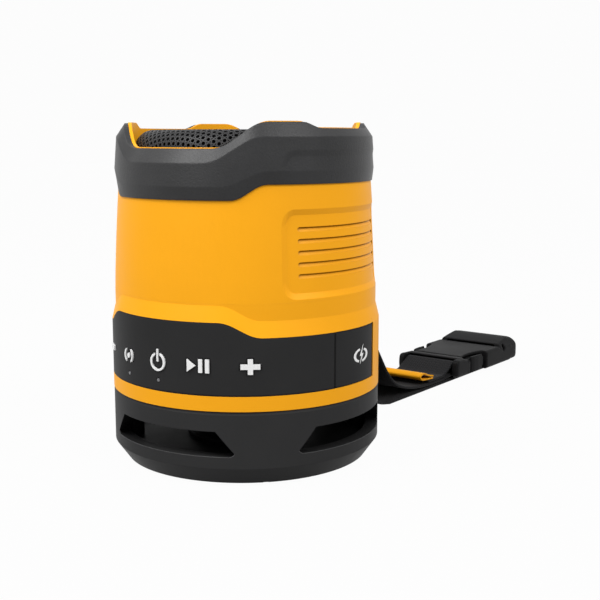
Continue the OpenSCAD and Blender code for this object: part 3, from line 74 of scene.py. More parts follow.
class SpeakerColours(bpy.types.PropertyGroup):
    """Colours of the speaker's finishes, as linear values."""

    housing: FloatVectorProperty(
        name="Housing", description="Amber moulding of both housings", subtype="COLOR",
        default=(0.95, 0.405, 0.010),
    )
    crown: FloatVectorProperty(
        name="Crown", description="Amber ring inside the bumper", subtype="COLOR",
        default=(0.95, 0.405, 0.009),
    )
    rubber: FloatVectorProperty(
        name="Bumper", description="Charcoal rubber of the bumper", subtype="COLOR",
        default=(0.023, 0.023, 0.0238),
    )
    panel: FloatVectorProperty(
        name="Key belt", description="Charcoal skin of the key belt", subtype="COLOR",
        default=(0.027, 0.027, 0.0275),
    )
    base: FloatVectorProperty(
        name="Base", description="Charcoal moulding of the base cage", subtype="COLOR",
        default=(0.031, 0.031, 0.0315),
    )
    buckle: FloatVectorProperty(
        name="Buckle", description="Black moulding of the buckle", subtype="COLOR",
        default=(0.007, 0.007, 0.0074),
    )
    webbing: FloatVectorProperty(
        name="Webbing", description="Black woven strap", subtype="COLOR",
        default=(0.010, 0.010, 0.011),
    )
    tab: FloatVectorProperty(
        name="Strap tab", description="Amber folded tab on the strap", subtype="COLOR",
        default=(0.76, 0.33, 0.004),
    )
    sign: FloatVectorProperty(
        name="Signs", description="White of the keys and signs", subtype="COLOR",
        default=(0.86, 0.86, 0.86),
    )
    grille: FloatVectorProperty(
        name="Grille", description="Dark paint of the grille", subtype="COLOR",
        default=(0.016, 0.016, 0.017),
    )


class SpeakerSizes(bpy.types.PropertyGroup):
    """Sizes of the details that the looks add."""

    hole_pitch: FloatProperty(
        name="Grille pitch", description="Spacing of the grille holes", unit="LENGTH", default=2.1 * MM
    )
    hole_radius: FloatProperty(
        name="Grille hole", description="Radius of a grille hole", unit="LENGTH", default=0.66 * MM
    )
    strap_width: FloatProperty(
        name="Strap width", description="Width of the webbing", unit="LENGTH", default=25 * MM
    )
    strap_thickness: FloatProperty(
        name="Strap thickness", description="Thickness of the webbing", unit="LENGTH", default=1.3 * MM
    )
    wales: IntProperty(name="Wales", description="Ribs across the webbing", default=22, min=6, max=40)
    sign_height: FloatProperty(
        name="Sign height", description="How far the charging sign stands proud", unit="LENGTH",
        default=0.12 * MM,
    )
    edge_round: FloatProperty(
        name="Edge rounding", description="Radius of the moulded edges", unit="LENGTH", default=0.45 * MM
    )


class StageSettings(bpy.types.PropertyGroup):
    """Camera and lamps."""

    lens: FloatProperty(
        name="Lens", description="Focal length of the camera", unit="CAMERA", default=62.18
    )
    key_power: FloatProperty(
        name="Key lamp", description="Power of the key lamp", unit="POWER", default=3.0
    )
    fill_power: FloatProperty(
        name="Fill lamp", description="Power of the fill lamp", unit="POWER", default=6.2
    )
    top_power: FloatProperty(
        name="Top lamp", description="Power of the top lamp", unit="POWER", default=7.2
    )
    sky: FloatProperty(name="Sky", description="Strength of the even light", default=0.35)


def colours():
    return bpy.context.scene.speaker_colours


def sizes():
    return bpy.context.scene.speaker_sizes


# Shader node groups

# Part of a noise that carries its change
NOISE_LOW, NOISE_HIGH = 0.3, 0.7
# Cosine between the rounded and the plain normal at which an edge counts in full, for the painted edge light
EDGE_FULL = 0.8
# Rise of a normal from which an edge counts as an upper one, and where it does in full, for the painted
# highlight on upper edges
UPPER_FROM, UPPER_FULL = 0.15, 0.5
# Open share of a point's surroundings for the painted shade in hollows: above the first it is open, below
# the second shut
OPEN, SHUT = 0.92, 0.35
# Depth over which the painted shade of the core sets in
CORE_SOFT = 2 * MM
# Share of loose fibres in the webbing's height, the height that counts as full, and the shades between,
# painted shade in the weave's hollows and a painted highlight on its ribs
FUZZ, WEAVE_FULL = 0.3, 1.2
WEAVE_PAINTED_SHADE, WEAVE_PAINTED_HIGHLIGHT = 0.35, 1.9


def group_shell(name, inputs, outputs):
    """Empty node group of float inputs with its sockets and its two end nodes."""
    tree = bpy.data.node_groups.new(name, "ShaderNodeTree")
    for label, value in inputs:
        socket = tree.interface.new_socket(name=label, in_out="INPUT", socket_type="NodeSocketFloat")
        socket.default_value = value
    for label, kind in outputs:
        tree.interface.new_socket(name=label, in_out="OUTPUT", socket_type=kind)
    return tree, tree.nodes.new("NodeGroupInput"), tree.nodes.new("NodeGroupOutput")


def feed(tree, slot, value):
    """Sets a socket to a number or links another socket to it."""
    if isinstance(value, (int, float)):
        slot.default_value = value
    else:
        tree.links.new(value, slot)


def math_node(tree, operation, *values):
    """Result of a math node whose inputs are sockets or numbers."""
    node = tree.nodes.new("ShaderNodeMath")
    node.operation = operation
    for slot, value in zip(node.inputs, values):
        feed(tree, slot, value)
    return node.outputs[0]


def vector_node(tree, operation, first, second=None):
    """Vector math node that takes one or two vector sockets."""
    node = tree.nodes.new("ShaderNodeVectorMath")
    node.operation = operation
    tree.links.new(first, node.inputs[0])
    if second is not None:
        tree.links.new(second, node.inputs[1])
    return node


def map_range(tree, value, low, high, to_low, to_high):
    """Result of a map range node whose ends are sockets or numbers."""
    node = tree.nodes.new("ShaderNodeMapRange")
    for slot, number in zip(("From Min", "From Max", "To Min", "To Max"), (low, high, to_low, to_high)):
        feed(tree, node.inputs[slot], number)
    tree.links.new(value, node.inputs["Value"])
    return node.outputs["Result"]


def grain_group():
    """Fine texture of a moulding: a height for bump, a slow change of shade and one of gloss."""
    tree, start, end = group_shell(
        "moulded_grain",
        [("Grain scale", 1800.0), ("Tone", 0.03), ("Gloss", 0.04)],
        [("Height", "NodeSocketFloat"), ("Shade", "NodeSocketFloat"), ("Gloss change", "NodeSocketFloat")],
    )
    place = tree.nodes.new("ShaderNodeTexCoord").outputs["Object"]
    fine = tree.nodes.new("ShaderNodeTexNoise")
    fine.inputs["Detail"].default_value = 3.0
    fine.inputs["Roughness"].default_value = 0.62
    slow = tree.nodes.new("ShaderNodeTexNoise")
    slow.inputs["Scale"].default_value = 45.0
    slow.inputs["Detail"].default_value = 4.0
    for node in (fine, slow):
        tree.links.new(place, node.inputs["Vector"])
    tree.links.new(start.outputs["Grain scale"], fine.inputs["Scale"])
    drift = map_range(tree, slow.outputs["Fac"], NOISE_LOW, NOISE_HIGH, -1.0, 1.0)
    speck = map_range(tree, fine.outputs["Fac"], NOISE_LOW, NOISE_HIGH, -0.5, 0.5)
    both = math_node(tree, "ADD", drift, speck)
    tree.links.new(fine.outputs["Fac"], end.inputs["Height"])
    tree.links.new(math_node(tree, "MULTIPLY_ADD", both, start.outputs["Tone"], 1.0), end.inputs["Shade"])
    tree.links.new(math_node(tree, "MULTIPLY", drift, start.outputs["Gloss"]), end.inputs["Gloss change"])
    return tree


def edge_group():
    """Rounded normals at a moulding's edges, and masks of all edges and of the upper ones, on which light
    and shade are painted.
    """
    tree, start, end = group_shell(
        "rounded_edge",
        [("Radius", 0.0004)],
        [("Normal", "NodeSocketVector"), ("Edge", "NodeSocketFloat"), ("Upper edge", "NodeSocketFloat")],
    )
    bevel = tree.nodes.new("ShaderNodeBevel")
    bevel.samples = 6
    tree.links.new(start.outputs["Radius"], bevel.inputs["Radius"])
    face = tree.nodes.new("ShaderNodeNewGeometry")
    dot = vector_node(tree, "DOT_PRODUCT", bevel.outputs["Normal"], face.outputs["Normal"])
    mask = map_range(tree, dot.outputs["Value"], 1.0, EDGE_FULL, 0.0, 1.0)
    split = tree.nodes.new("ShaderNodeSeparateXYZ")
    tree.links.new(bevel.outputs["Normal"], split.inputs["Vector"])
    upward = map_range(tree, split.outputs["Z"], UPPER_FROM, UPPER_FULL, 0.0, 1.0)
    tree.links.new(bevel.outputs["Normal"], end.inputs["Normal"])
    tree.links.new(mask, end.inputs["Edge"])
    tree.links.new(math_node(tree, "MULTIPLY", mask, upward), end.inputs["Upper edge"])
    return tree


def painted_shade_group():
    """Painted shade of grooves, corners and the core: 1 on open faces, less between close walls or near the
    axis.
    """
    tree, start, end = group_shell(
        "hollow_shade",
        [("Reach", 0.0015), ("Depth", 0.4), ("Core", 0.0)],
        [("Shade", "NodeSocketFloat")],
    )
    near = tree.nodes.new("ShaderNodeAmbientOcclusion")
    near.samples = 8
    near.only_local = True
    tree.links.new(start.outputs["Reach"], near.inputs["Distance"])
    shut = map_range(tree, near.outputs["AO"], OPEN, SHUT, 0.0, 1.0)
    flat = vector_node(tree, "MULTIPLY", tree.nodes.new("ShaderNodeTexCoord").outputs["Object"])
    flat.inputs[1].default_value = (1, 1, 0)
    radius = vector_node(tree, "LENGTH", flat.outputs["Vector"])
    within = math_node(tree, "SUBTRACT", start.outputs["Core"], radius.outputs["Value"])
    core = map_range(tree, within, 0.0, CORE_SOFT, 0.0, 1.0)
    both = math_node(tree, "MAXIMUM", shut, core)
    kept = math_node(tree, "MULTIPLY", both, start.outputs["Depth"])
    tree.links.new(math_node(tree, "SUBTRACT", 1.0, kept), end.inputs["Shade"])
    return tree


def weave_group():
    """Woven webbing on the strap's own map: wales along it, slanted picks across each wale, and shade
    painted from the height, painted shade in the hollows and painted highlight on the ribs.
    """
    tree, start, end = group_shell(
        "webbing_weave",
        [("Wales", 880.0), ("Picks", 900.0)],
        [("Height", "NodeSocketFloat"), ("Shade", "NodeSocketFloat")],
    )
    uv = tree.nodes.new("ShaderNodeTexCoord").outputs["UV"]
    split = tree.nodes.new("ShaderNodeSeparateXYZ")
    tree.links.new(uv, split.inputs["Vector"])
    across = math_node(tree, "MULTIPLY", split.outputs["X"], start.outputs["Wales"])
    along = math_node(tree, "MULTIPLY", split.outputs["Y"], start.outputs["Picks"])
    wave = math_node(tree, "SINE", math_node(tree, "MULTIPLY", across, math.pi))
    wave = math_node(tree, "ABSOLUTE", wave)
    slanted = math_node(tree, "ADD", along, math_node(tree, "PINGPONG", across, 1.0))
    pick = math_node(tree, "SINE", math_node(tree, "MULTIPLY", slanted, 2 * math.pi))
    pick = math_node(tree, "MULTIPLY_ADD", pick, 0.5, 0.5)
    fibres = tree.nodes.new("ShaderNodeTexNoise")
    fibres.inputs["Scale"].default_value = 2500.0
    tree.links.new(uv, fibres.inputs["Vector"])
    loose = math_node(tree, "MULTIPLY", fibres.outputs["Fac"], FUZZ)
    height = math_node(tree, "ADD", math_node(tree, "MULTIPLY", wave, pick), loose)
    tree.links.new(height, end.inputs["Height"])
    # Painted shade in the weave's hollows and painted highlight on its ribs
    shade = map_range(tree, height, 0.0, WEAVE_FULL, WEAVE_PAINTED_SHADE, WEAVE_PAINTED_HIGHLIGHT)
    tree.links.new(shade, end.inputs["Shade"])
    return tree


# Materials


def place_group(tree, maker, name):
    """Node of a group, which is built the first time it is asked for."""
    node = tree.nodes.new("ShaderNodeGroup")
    node.node_tree = bpy.data.node_groups.get(name) or maker()
    return node


def tint_by(tree, shader, colour, shade):
    """Base colour times a shade that changes over the surface."""
    tint = tree.nodes.new("ShaderNodeVectorMath")
    tint.operation = "SCALE"
    tint.inputs[0].default_value = tuple(colour)
    tree.links.new(shade, tint.inputs["Scale"])
    tree.links.new(tint.outputs["Vector"], shader.inputs["Base Color"])


def bump_by(tree, shader, height, depth):
    """Bump of a height map, depth in millimetres."""
    bump = tree.nodes.new("ShaderNodeBump")
    bump.inputs["Strength"].default_value = 1.0
    bump.inputs["Distance"].default_value = depth * MM
    tree.links.new(height, bump.inputs["Height"])
    tree.links.new(bump.outputs["Normal"], shader.inputs["Normal"])
    return bump


def moulded(
    name, colour, roughness, grain=1800.0, depth=0.03, tone=0.03, edge=None, painted_edge_light=0.25, painted_upper_highlight=0.0,
    hollow=0.0, reach=1.5, core=0.0, metallic=0.0, specular=0.5, sheen=0.0,
):
    """Material of a moulded, painted or plated piece.

    grain is the scale of its texture, depth the texture's bump and tone its change of shade. edge is the
    radius of the rounded edges. lift paints light on all edges, a highlight above nought and shade below,
    crest paints a further highlight on those that face up, and hollow paints shade on what lies between
    walls closer than reach, or within core of the axis. Lengths are in millimetres, shades are shares of
    the colour.
    """
    mat = bpy.data.materials.new(name)
    mat.use_nodes = True
    tree = mat.node_tree
    shader = tree.nodes["Principled BSDF"]
    shader.inputs["Metallic"].default_value = metallic
    shader.inputs["Specular IOR Level"].default_value = specular
    shader.inputs["Sheen Weight"].default_value = sheen
    skin = place_group(tree, grain_group, "moulded_grain")
    skin.inputs["Grain scale"].default_value = grain
    skin.inputs["Tone"].default_value = tone
    rim = place_group(tree, edge_group, "rounded_edge")
    rim.inputs["Radius"].default_value = sizes().edge_round if edge is None else edge * MM
    # Painted light on all edges, a highlight when set above nought and shade when below, then a painted
    # highlight on the edges that face up
    shade = math_node(tree, "MULTIPLY_ADD", rim.outputs["Edge"], painted_edge_light, skin.outputs["Shade"])
    shade = math_node(tree, "MULTIPLY_ADD", rim.outputs["Upper edge"], painted_upper_highlight, shade)
    # Painted shade between close walls and near the axis
    if hollow:
        painted_shade_node = place_group(tree, painted_shade_group, "hollow_shade")
        painted_shade_node.inputs["Depth"].default_value = hollow
        painted_shade_node.inputs["Reach"].default_value = reach * MM
        painted_shade_node.inputs["Core"].default_value = core * MM
        shade = math_node(tree, "MULTIPLY", shade, painted_shade_node.outputs["Shade"])
    tint_by(tree, shader, colour, shade)
    gloss = math_node(tree, "ADD", skin.outputs["Gloss change"], roughness)
    tree.links.new(gloss, shader.inputs["Roughness"])
    bump = bump_by(tree, shader, skin.outputs["Height"], depth)
    tree.links.new(rim.outputs["Normal"], bump.inputs["Normal"])
    return mat


def woven(name, colour, roughness, wales, picks, depth):
    """Material of the webbing on the strap's own map, with wales and picks to a metre."""
    mat = bpy.data.materials.new(name)
    mat.use_nodes = True
    tree = mat.node_tree
    shader = tree.nodes["Principled BSDF"]
    shader.inputs["Roughness"].default_value = roughness
    shader.inputs["Sheen Weight"].default_value = 0.05
    shader.inputs["Specular IOR Level"].default_value = 0.06
    weave = place_group(tree, weave_group, "webbing_weave")
    weave.inputs["Wales"].default_value = wales
    weave.inputs["Picks"].default_value = picks
    # The weave's painted shade and highlight tint the colour
    tint_by(tree, shader, colour, weave.outputs["Shade"])
    bump_by(tree, shader, weave.outputs["Height"], depth)
    return mat


# Pieces


def dress(mat, *names):
    """Gives CAD nodes a finish."""
    for name in names:
        mesh = NODES[name].data
        mesh.materials.clear()
        mesh.materials.append(mat)


def dress_all(rows):
    """Dresses CAD nodes by rows of finish, colour or its property's name, roughness, values and nodes."""
    for name, colour, roughness, values, nodes in rows:
        tint = getattr(colours(), colour) if isinstance(colour, str) else colour
        dress(moulded(name, tint, roughness, **values), *nodes)


def piece_from(bm, name, mat, body, smooth_angle, replaces=()):
    """Makes a finished object of a bmesh and sets it on its body."""
    mesh = bpy.data.meshes.new(name)
    bm.to_mesh(mesh)
    bm.free()
    mesh.materials.append(mat)
    mesh.shade_smooth()
    mesh.set_sharp_from_angle(angle=math.radians(smooth_angle))
    piece = bpy.data.objects.new(name, mesh)
    bpy.context.scene.collection.objects.link(piece)
    if body:
        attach(piece, body)
    if replaces:
        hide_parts(*replaces)
    return piece


def spin_section(bm, section, scale, steps, closed):
    """Spins a section, given as radius and height, once round the axis."""
    verts = [bm.verts.new((r * scale, 0, z * scale)) for r, z in section]
    following = verts[1:] + verts[:1] if closed else verts[1:]
    edges = [bm.edges.new(pair) for pair in zip(verts, following)]
    bmesh.ops.spin(
        bm, geom=verts + edges, cent=(0, 0, 0), axis=(0, 0, 1), angle=math.tau, steps=steps, use_merge=True
    )


# Strap: the same middle line as the solids follow, as y and z, in millimetres

STRAP_YAW = math.radians(2.5)
SLOT_LOW, SLOT_HIGH = 31.5, 48.4
SLOT_BEND = 3.0
RUN_Y, RUN_Z = 41.2, 39.95
HALF_T = 0.65
LIE_Z = 2.15
LIE_YS = (95, 108, 121, 134, 147, 160)
BAR = Vector((139.0, 5.65))
BAR_LOOP = 2.65
SOCKET_BAR = Vector((190.0, 6.4))
SOCKET_LOOP = 2.95
# Angles at which the webbing meets a bar from below and leaves it
BAR_MEET, SOCKET_LEAVE = -100, 170
# Shares of reach and of height along the two hanging parts
LOWER_FALL = ((0.11, 0.94), (0.31, 0.55), (0.54, 0.23), (0.77, 0.06), (1.0, 0.0))
UPPER_FALL = ((0.065, 0.98), (0.21, 0.85), (0.4, 0.5), (0.58, 0.19), (0.76, 0.065), (1.0, 0.01))
LOWER_REACH, UPPER_REACH = 35.0, 62.0
# Where the lower webbing leaves the floor for the socket's bar, in loops before it, and its first lift
LIFT_FROM, LIFT_AT, LIFT = 5, 3.5, 0.1
# Where the upper webbing lies flat before the plug's bar, in loops before it
UPPER_FLAT = 4
# Tail: its end, its height, the angles at which it meets and leaves the bar, and the last part of that arc,
# which is left to the curve
TAIL_END, TAIL_Z = 115.0, 3.7
TAIL_MEET, TAIL_LEAVE, TAIL_EASE = 6, 118.0, 10
# The tail's way down, in loops of the bar, and shares of it on the slope and on the level
TAIL_RUN = 3.7
TAIL_SLOPE, TAIL_LEVEL = (0.4, 0.75), (0.08, 0.4)
# Tab: thickness, length, height, lap on the tail, gap above it, round of its sides, and shares of its fold
TAB_T, TAB_L, TAB_H, TAB_LAP = 0.7, 12.0, 2.9, 4.0
TAB_GAP, TAB_ROUND = 0.1, 0.1
TAB_FOLD = ((0.0, 0.29), (0.34, 0.62), (0.7, 1.15), (0.94, 0.85), (0.82, 0.3), (0.45, 0.12), (0.03, 0.0))
# Section of the webbing: height of a rib and points to a rib, the share of half its thickness that a rounded
# side takes, and that side's points, as inset and share of half the thickness
RIB = 0.07
RIB_POINTS = 4
SIDE_SHARE = 0.7
SIDE = ((-0.25, 0.62), (0.0, 0.2), (0.0, -0.2), (-0.25, -0.62))


def arc(centre, radius, start, finish, steps):
    """Points on an arc, angles in degrees."""
    turns = [math.radians(start + (finish - start) * i / steps) for i in range(steps + 1)]
    return [Vector((centre[0] + radius * math.cos(t), centre[1] + radius * math.sin(t))) for t in turns]


def curve(points, steps=8):
    """Smooth curve through points."""
    p = [Vector(q) for q in points]
    p = [2 * p[0] - p[1]] + p + [2 * p[-1] - p[-2]]
    line = []
    for i in range(len(p) - 3):
        a, b, c, d = p[i:i + 4]
        square, cube = 2 * a - 5 * b + 4 * c - d, 3 * b - a - 3 * c + d
        for k in range(steps):
            t = k / steps
            line.append(0.5 * (2 * b + (c - a) * t + square * t * t + cube * t ** 3))
    return line + [p[-2]]


def hang(fall, reach, high, low):
    """Points of a hanging part of the strap, from shares of its reach and its fall."""
    return [(BELT_R + out * reach, low + down * (high - low)) for out, down in fall]


def strap_matrix():
    """Turn of the strap and buckle about the rear of the belt."""
    pivot = Vector((0, BELT_R * MM, 0))
    return Matrix.Translation(pivot) @ Matrix.Rotation(-STRAP_YAW, 4, "Z") @ Matrix.Translation(-pivot)


def band_outline(width, thickness, wales):
    """Section of the webbing, across and up in millimetres: ribbed faces between two rounded edges."""
    half, up = width / 2, thickness / 2
    flat = half - up * SIDE_SHARE
    upper = []
    count = wales * RIB_POINTS
    for i in range(count + 1):
        x = -flat + 2 * flat * i / count
        upper.append((x, up - RIB + RIB * abs(math.sin(math.pi * wales * i / count))))
    side = [(half + inset, up * share) for inset, share in SIDE]
    lower = [(x, -y) for x, y in reversed(upper)]
    return upper + side + lower + [(-x, -y) for x, y in side]


def sweep(bm, outline, line):
    """Sweeps a closed outline along a line in the y-z plane and maps it: across, along, in metres."""
    number = bm.verts.layers.int.new("number")
    travel = bm.verts.layers.float.new("travel")
    ring = bmesh.ops.create_circle(bm, segments=len(outline), radius=1.0)["verts"]
    for i, vert in enumerate(ring):
        vert[number] = i
    edges = list(bm.edges)
    first = set(ring)
    gone = 0.0
    for i, point in enumerate(line):
        ahead = line[min(i + 1, len(line) - 1)] - line[max(i - 1, 0)]
        ahead.normalize()
        side = Vector((-ahead[1], ahead[0]))
        if i:
            gone += (point - line[i - 1]).length
            grown = bmesh.ops.extrude_edge_only(bm, edges=edges)["geom"]
            ring = [g for g in grown if isinstance(g, bmesh.types.BMVert)]
            new = set(ring)
            edges = [g for g in grown if isinstance(g, bmesh.types.BMEdge) and new.issuperset(g.verts)]
        for vert in ring:
            across, up = outline[vert[number]]
            vert.co = Vector((across, point[0] + side[0] * up, point[1] + side[1] * up)) * MM
            vert[travel] = gone * MM
    mouth = [edge for edge in bm.edges if edge.is_boundary and edge.verts[0] in first]
    bmesh.ops.contextual_create(bm, geom=mouth)
    bmesh.ops.contextual_create(bm, geom=edges)
    uv = bm.loops.layers.uv.new("UVMap")
    for face in bm.faces:
        for loop in face.loops:
            loop[uv].uv = (outline[loop.vert[number]][0] * MM, loop.vert[travel])
    bmesh.ops.recalc_face_normals(bm, faces=bm.faces)
    bmesh.ops.transform(bm, matrix=strap_matrix(), verts=bm.verts)


class SPEAKER_OT_strap(bpy.types.Operator):
    """Weave the strap, its tail and its folded tab"""

    bl_idname = "speaker.strap"
    bl_label = "Strap"

    def execute(self, context):
        size = sizes()
        width, thickness = size.strap_width / MM, size.strap_thickness / MM
        outline = band_outline(width, thickness, size.wales)
        mat = woven(
            "strap_webbing", colours().webbing, roughness=0.62, wales=size.wales / size.strap_width,
            picks=620.0, depth=0.09,
        )
        for name, node, line, body in (
            ("lower_webbing", "lower_strap", self.lower_line(), "speaker"),
            ("upper_webbing", "upper_strap", self.upper_line(), None),
            ("tail_webbing", "strap_tail", self.tail_line(), "buckle_plug"),
        ):
            bm = bmesh.new()
            sweep(bm, outline, line)
            piece = piece_from(bm, name, mat, body, smooth_angle=60.0, replaces=(node,))
            if body is None:
                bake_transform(piece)
        self.fold_tab(width)
        return {"FINISHED"}

    def lower_line(self):
        """From the belt down to the floor, along it and round the socket's bar."""
        return (
            [Vector((RUN_Y, RUN_Z))]
            + arc((RUN_Y + SLOT_BEND, SLOT_LOW + SLOT_BEND), SLOT_BEND, 180, 270, 6)
            + curve([(BELT_R - HALF_T, SLOT_LOW)] + hang(LOWER_FALL, LOWER_REACH, SLOT_LOW, HALF_T))
            + [Vector((y, HALF_T)) for y in LIE_YS + (SOCKET_BAR[0] - LIFT_FROM * SOCKET_LOOP,)]
            + [Vector((SOCKET_BAR[0] - LIFT_AT * SOCKET_LOOP, HALF_T + LIFT))]
            + arc(SOCKET_BAR, SOCKET_LOOP, BAR_MEET, SOCKET_LEAVE, 18)
        )

    def upper_line(self):
        """From the belt down onto the lower webbing and round the front of the plug's bar."""
        flat = (BAR[0] - UPPER_FLAT * BAR_LOOP, LIE_Z)
        fall = hang(UPPER_FALL, UPPER_REACH, SLOT_HIGH, LIE_Z)
        return (
            [Vector((RUN_Y, RUN_Z))]
            + arc((RUN_Y + SLOT_BEND, SLOT_HIGH - SLOT_BEND), SLOT_BEND, 180, 90, 6)
            + curve([(BELT_R - HALF_T, SLOT_HIGH)] + fall + [flat])
            + arc(BAR, BAR_LOOP, BAR_MEET, 0, 10)
        )

    def tail_line(self):
        """Over the plug's bar, down and back along the upper webbing."""
        leave = math.radians(TAIL_LEAVE)
        off = BAR + BAR_LOOP * Vector((math.cos(leave), math.sin(leave)))
        run = TAIL_RUN * BAR_LOOP
        foot = Vector((BAR[0] - run, TAIL_Z))
        slope = [off + share * (foot - off) for share in TAIL_SLOPE]
        level = [(foot[0] - share * run, TAIL_Z) for share in TAIL_LEVEL]
        over = arc(BAR, BAR_LOOP, TAIL_MEET, TAIL_LEAVE - TAIL_EASE, 10)
        return over + curve([off] + slope + level + [(TAIL_END, TAIL_Z)])

    def fold_tab(self, width):
        """Amber strip that loops back on itself at the tail's end."""
        foot = Vector((TAIL_END + TAB_LAP, TAIL_Z + HALF_T + TAB_GAP + TAB_T / 2))
        line = curve([foot + Vector((-out * TAB_L, up * TAB_H)) for out, up in TAB_FOLD])
        half, up = width / 2, TAB_T / 2
        wide = half + TAB_ROUND
        section = [(-half, up), (half, up), (wide, 0), (half, -up), (-half, -up), (-wide, 0)]
        bm = bmesh.new()
        sweep(bm, section, line)
        # Painted shade inside the fold and a faint painted highlight on the tab's edges
        mat = moulded(
            "tab_amber", colours().tab, 0.5, grain=2600, depth=0.01, tone=0.03, painted_edge_light=0.1, hollow=0.5,
            specular=0.12,
        )
        piece_from(
            bm, "folded_tab", mat, "buckle_plug", smooth_angle=35.0, replaces=("strap_tab",)
        )


# Grille, in millimetres: radius of its skirt, of the bend above it, and the sheet's thickness
SKIRT_R, GRILLE_BEND, GRILLE_SHEET = 38.5, 7.0, 0.8
GRILLE_FLAT = SKIRT_R - GRILLE_BEND
# How far the holes run down past the bend, and the reach of the flat sheet that is bent into the dome
GRILLE_OVERRUN = 1.2
GRILLE_REACH = GRILLE_FLAT + GRILLE_BEND * math.pi / 2 + GRILLE_OVERRUN
# First inset of a hole, before it is made round, and the distance at which cells are joined
HOLE_INSET, CELL_JOIN = 0.2, 0.02
# Plain skirt: its top below the grille's, how far it stands proud of the holes, and its slope to the flange
SKIRT_DROP, SKIRT_PROUD, SKIRT_SLOPE = 7.6, 0.02, 0.3
# Cloth: its top below the grille's, its gap inside the sheet, and its foot above the housing
CLOTH_DROP, CLOTH_GAP, CLOTH_FOOT = 0.95, 0.15, 1.0
CLOTH_BLACK = (0.008, 0.008, 0.009)


def domed(run):
    """Radius and height that a point of the flat sheet, run from the axis, has in the dome."""
    if run <= GRILLE_FLAT:
        return run, GRILLE_TOP
    turn = (run - GRILLE_FLAT) / GRILLE_BEND
    if turn <= math.pi / 2:
        drop = GRILLE_BEND * (1 - math.cos(turn))
        return GRILLE_FLAT + GRILLE_BEND * math.sin(turn), GRILLE_TOP - drop
    return SKIRT_R, GRILLE_TOP - GRILLE_BEND - (run - GRILLE_FLAT - GRILLE_BEND * math.pi / 2)


class SPEAKER_OT_grille(bpy.types.Operator):
    """Punch the domed grille and line it with cloth"""

    bl_idname = "speaker.grille"
    bl_label = "Grille"

    def execute(self, context):
        bm = bmesh.new()
        self.punch(bm, sizes().hole_pitch / MM, sizes().hole_radius / MM)
        for vert in bm.verts:
            run = math.hypot(vert.co.x, vert.co.y)
            if run < 1e-6:
                vert.co.z = GRILLE_TOP
                continue
            r, z = domed(run)
            vert.co = Vector((vert.co.x * r / run, vert.co.y * r / run, z))
        bmesh.ops.recalc_face_normals(bm, faces=bm.faces)
        if sum(face.normal.z for face in bm.faces) < 0:
            bmesh.ops.reverse_faces(bm, faces=bm.faces)
        bmesh.ops.solidify(bm, geom=bm.faces, thickness=GRILLE_SHEET)
        self.add_skirt(bm)
        bmesh.ops.scale(bm, vec=(MM, MM, MM), verts=bm.verts)
        # Painted highlight on the edges of the holes
        mat = moulded(
            "grille_paint", colours().grille, 0.45, grain=3500, depth=0.012, tone=0.05, edge=0.12, painted_edge_light=0.3,
            specular=0.25,
        )
        piece_from(
            bm, "punched_grille", mat, "speaker", smooth_angle=45.0, replaces=("grille",)
        )
        self.line_with_cloth(SKIRT_R - GRILLE_SHEET - CLOTH_GAP)
        return {"FINISHED"}

    def punch(self, bm, pitch, hole):
        """Flat sheet of six-sided cells, each with a round hole."""
        step = pitch * math.sqrt(3) / 2
        rows = int(GRILLE_REACH / step) + 1
        columns = int(GRILLE_REACH / pitch) + 1
        turn = Matrix.Rotation(math.radians(30), 4, "Z")
        for row in range(-rows, rows + 1):
            for column in range(-columns, columns + 1):
                x = (column + (row % 2) / 2) * pitch
                y = row * step
                if math.hypot(x, y) < GRILLE_REACH:
                    bmesh.ops.create_circle(
                        bm, cap_ends=True, segments=6, radius=pitch / math.sqrt(3),
                        matrix=Matrix.Translation((x, y, 0)) @ turn,
                    )
        bmesh.ops.remove_doubles(bm, verts=bm.verts, dist=CELL_JOIN)
        bmesh.ops.subdivide_edges(bm, edges=bm.edges, cuts=1)
        cells = list(bm.faces)
        bmesh.ops.inset_individual(bm, faces=cells, thickness=HOLE_INSET)
        for cell in cells:
            centre = cell.calc_center_median()
            for vert in cell.verts:
                vert.co = centre + (vert.co - centre).normalized() * hole
        bmesh.ops.delete(bm, geom=cells, context="FACES")

    def add_skirt(self, bm):
        """Plain skirt and clamped flange below the holes, spun from their section."""
        low, high = HOUSING_TOP, GRILLE_TOP - SKIRT_DROP
        inner, wide = SKIRT_R - GRILLE_SHEET, SKIRT_R + SKIRT_PROUD
        section = [
            (inner, low), (GRILLE_FLANGE, low), (GRILLE_FLANGE, low + GRILLE_SHEET),
            (wide, low + GRILLE_SHEET + SKIRT_SLOPE), (wide, high), (inner, high),
        ]
        holed = set(bm.faces)
        spin_section(bm, section, 1.0, 96, closed=True)
        bmesh.ops.recalc_face_normals(bm, faces=[face for face in bm.faces if face not in holed])

    def line_with_cloth(self, radius):
        """Dark acoustic cloth close under the grille, spun from its section."""
        top = GRILLE_TOP - CLOTH_DROP
        bend = radius - GRILLE_FLAT
        turns = [i * math.pi / 16 for i in range(9)]
        section = [(0.0, top)]
        section += [(GRILLE_FLAT + bend * math.sin(t), top - bend * (1 - math.cos(t))) for t in turns]
        section += [(radius, HOUSING_TOP + CLOTH_FOOT)]
        bm = bmesh.new()
        spin_section(bm, section, MM, 64, closed=False)
        bmesh.ops.remove_doubles(bm, verts=bm.verts, dist=1e-6)
        bmesh.ops.recalc_face_normals(bm, faces=bm.faces)
        mat = moulded(
            "acoustic_cloth", CLOTH_BLACK, 0.95, grain=2500, depth=0.05, tone=0.2, painted_edge_light=0.0, specular=0.1
        )
        piece_from(bm, "grille_cloth", mat, "speaker", smooth_angle=60.0)


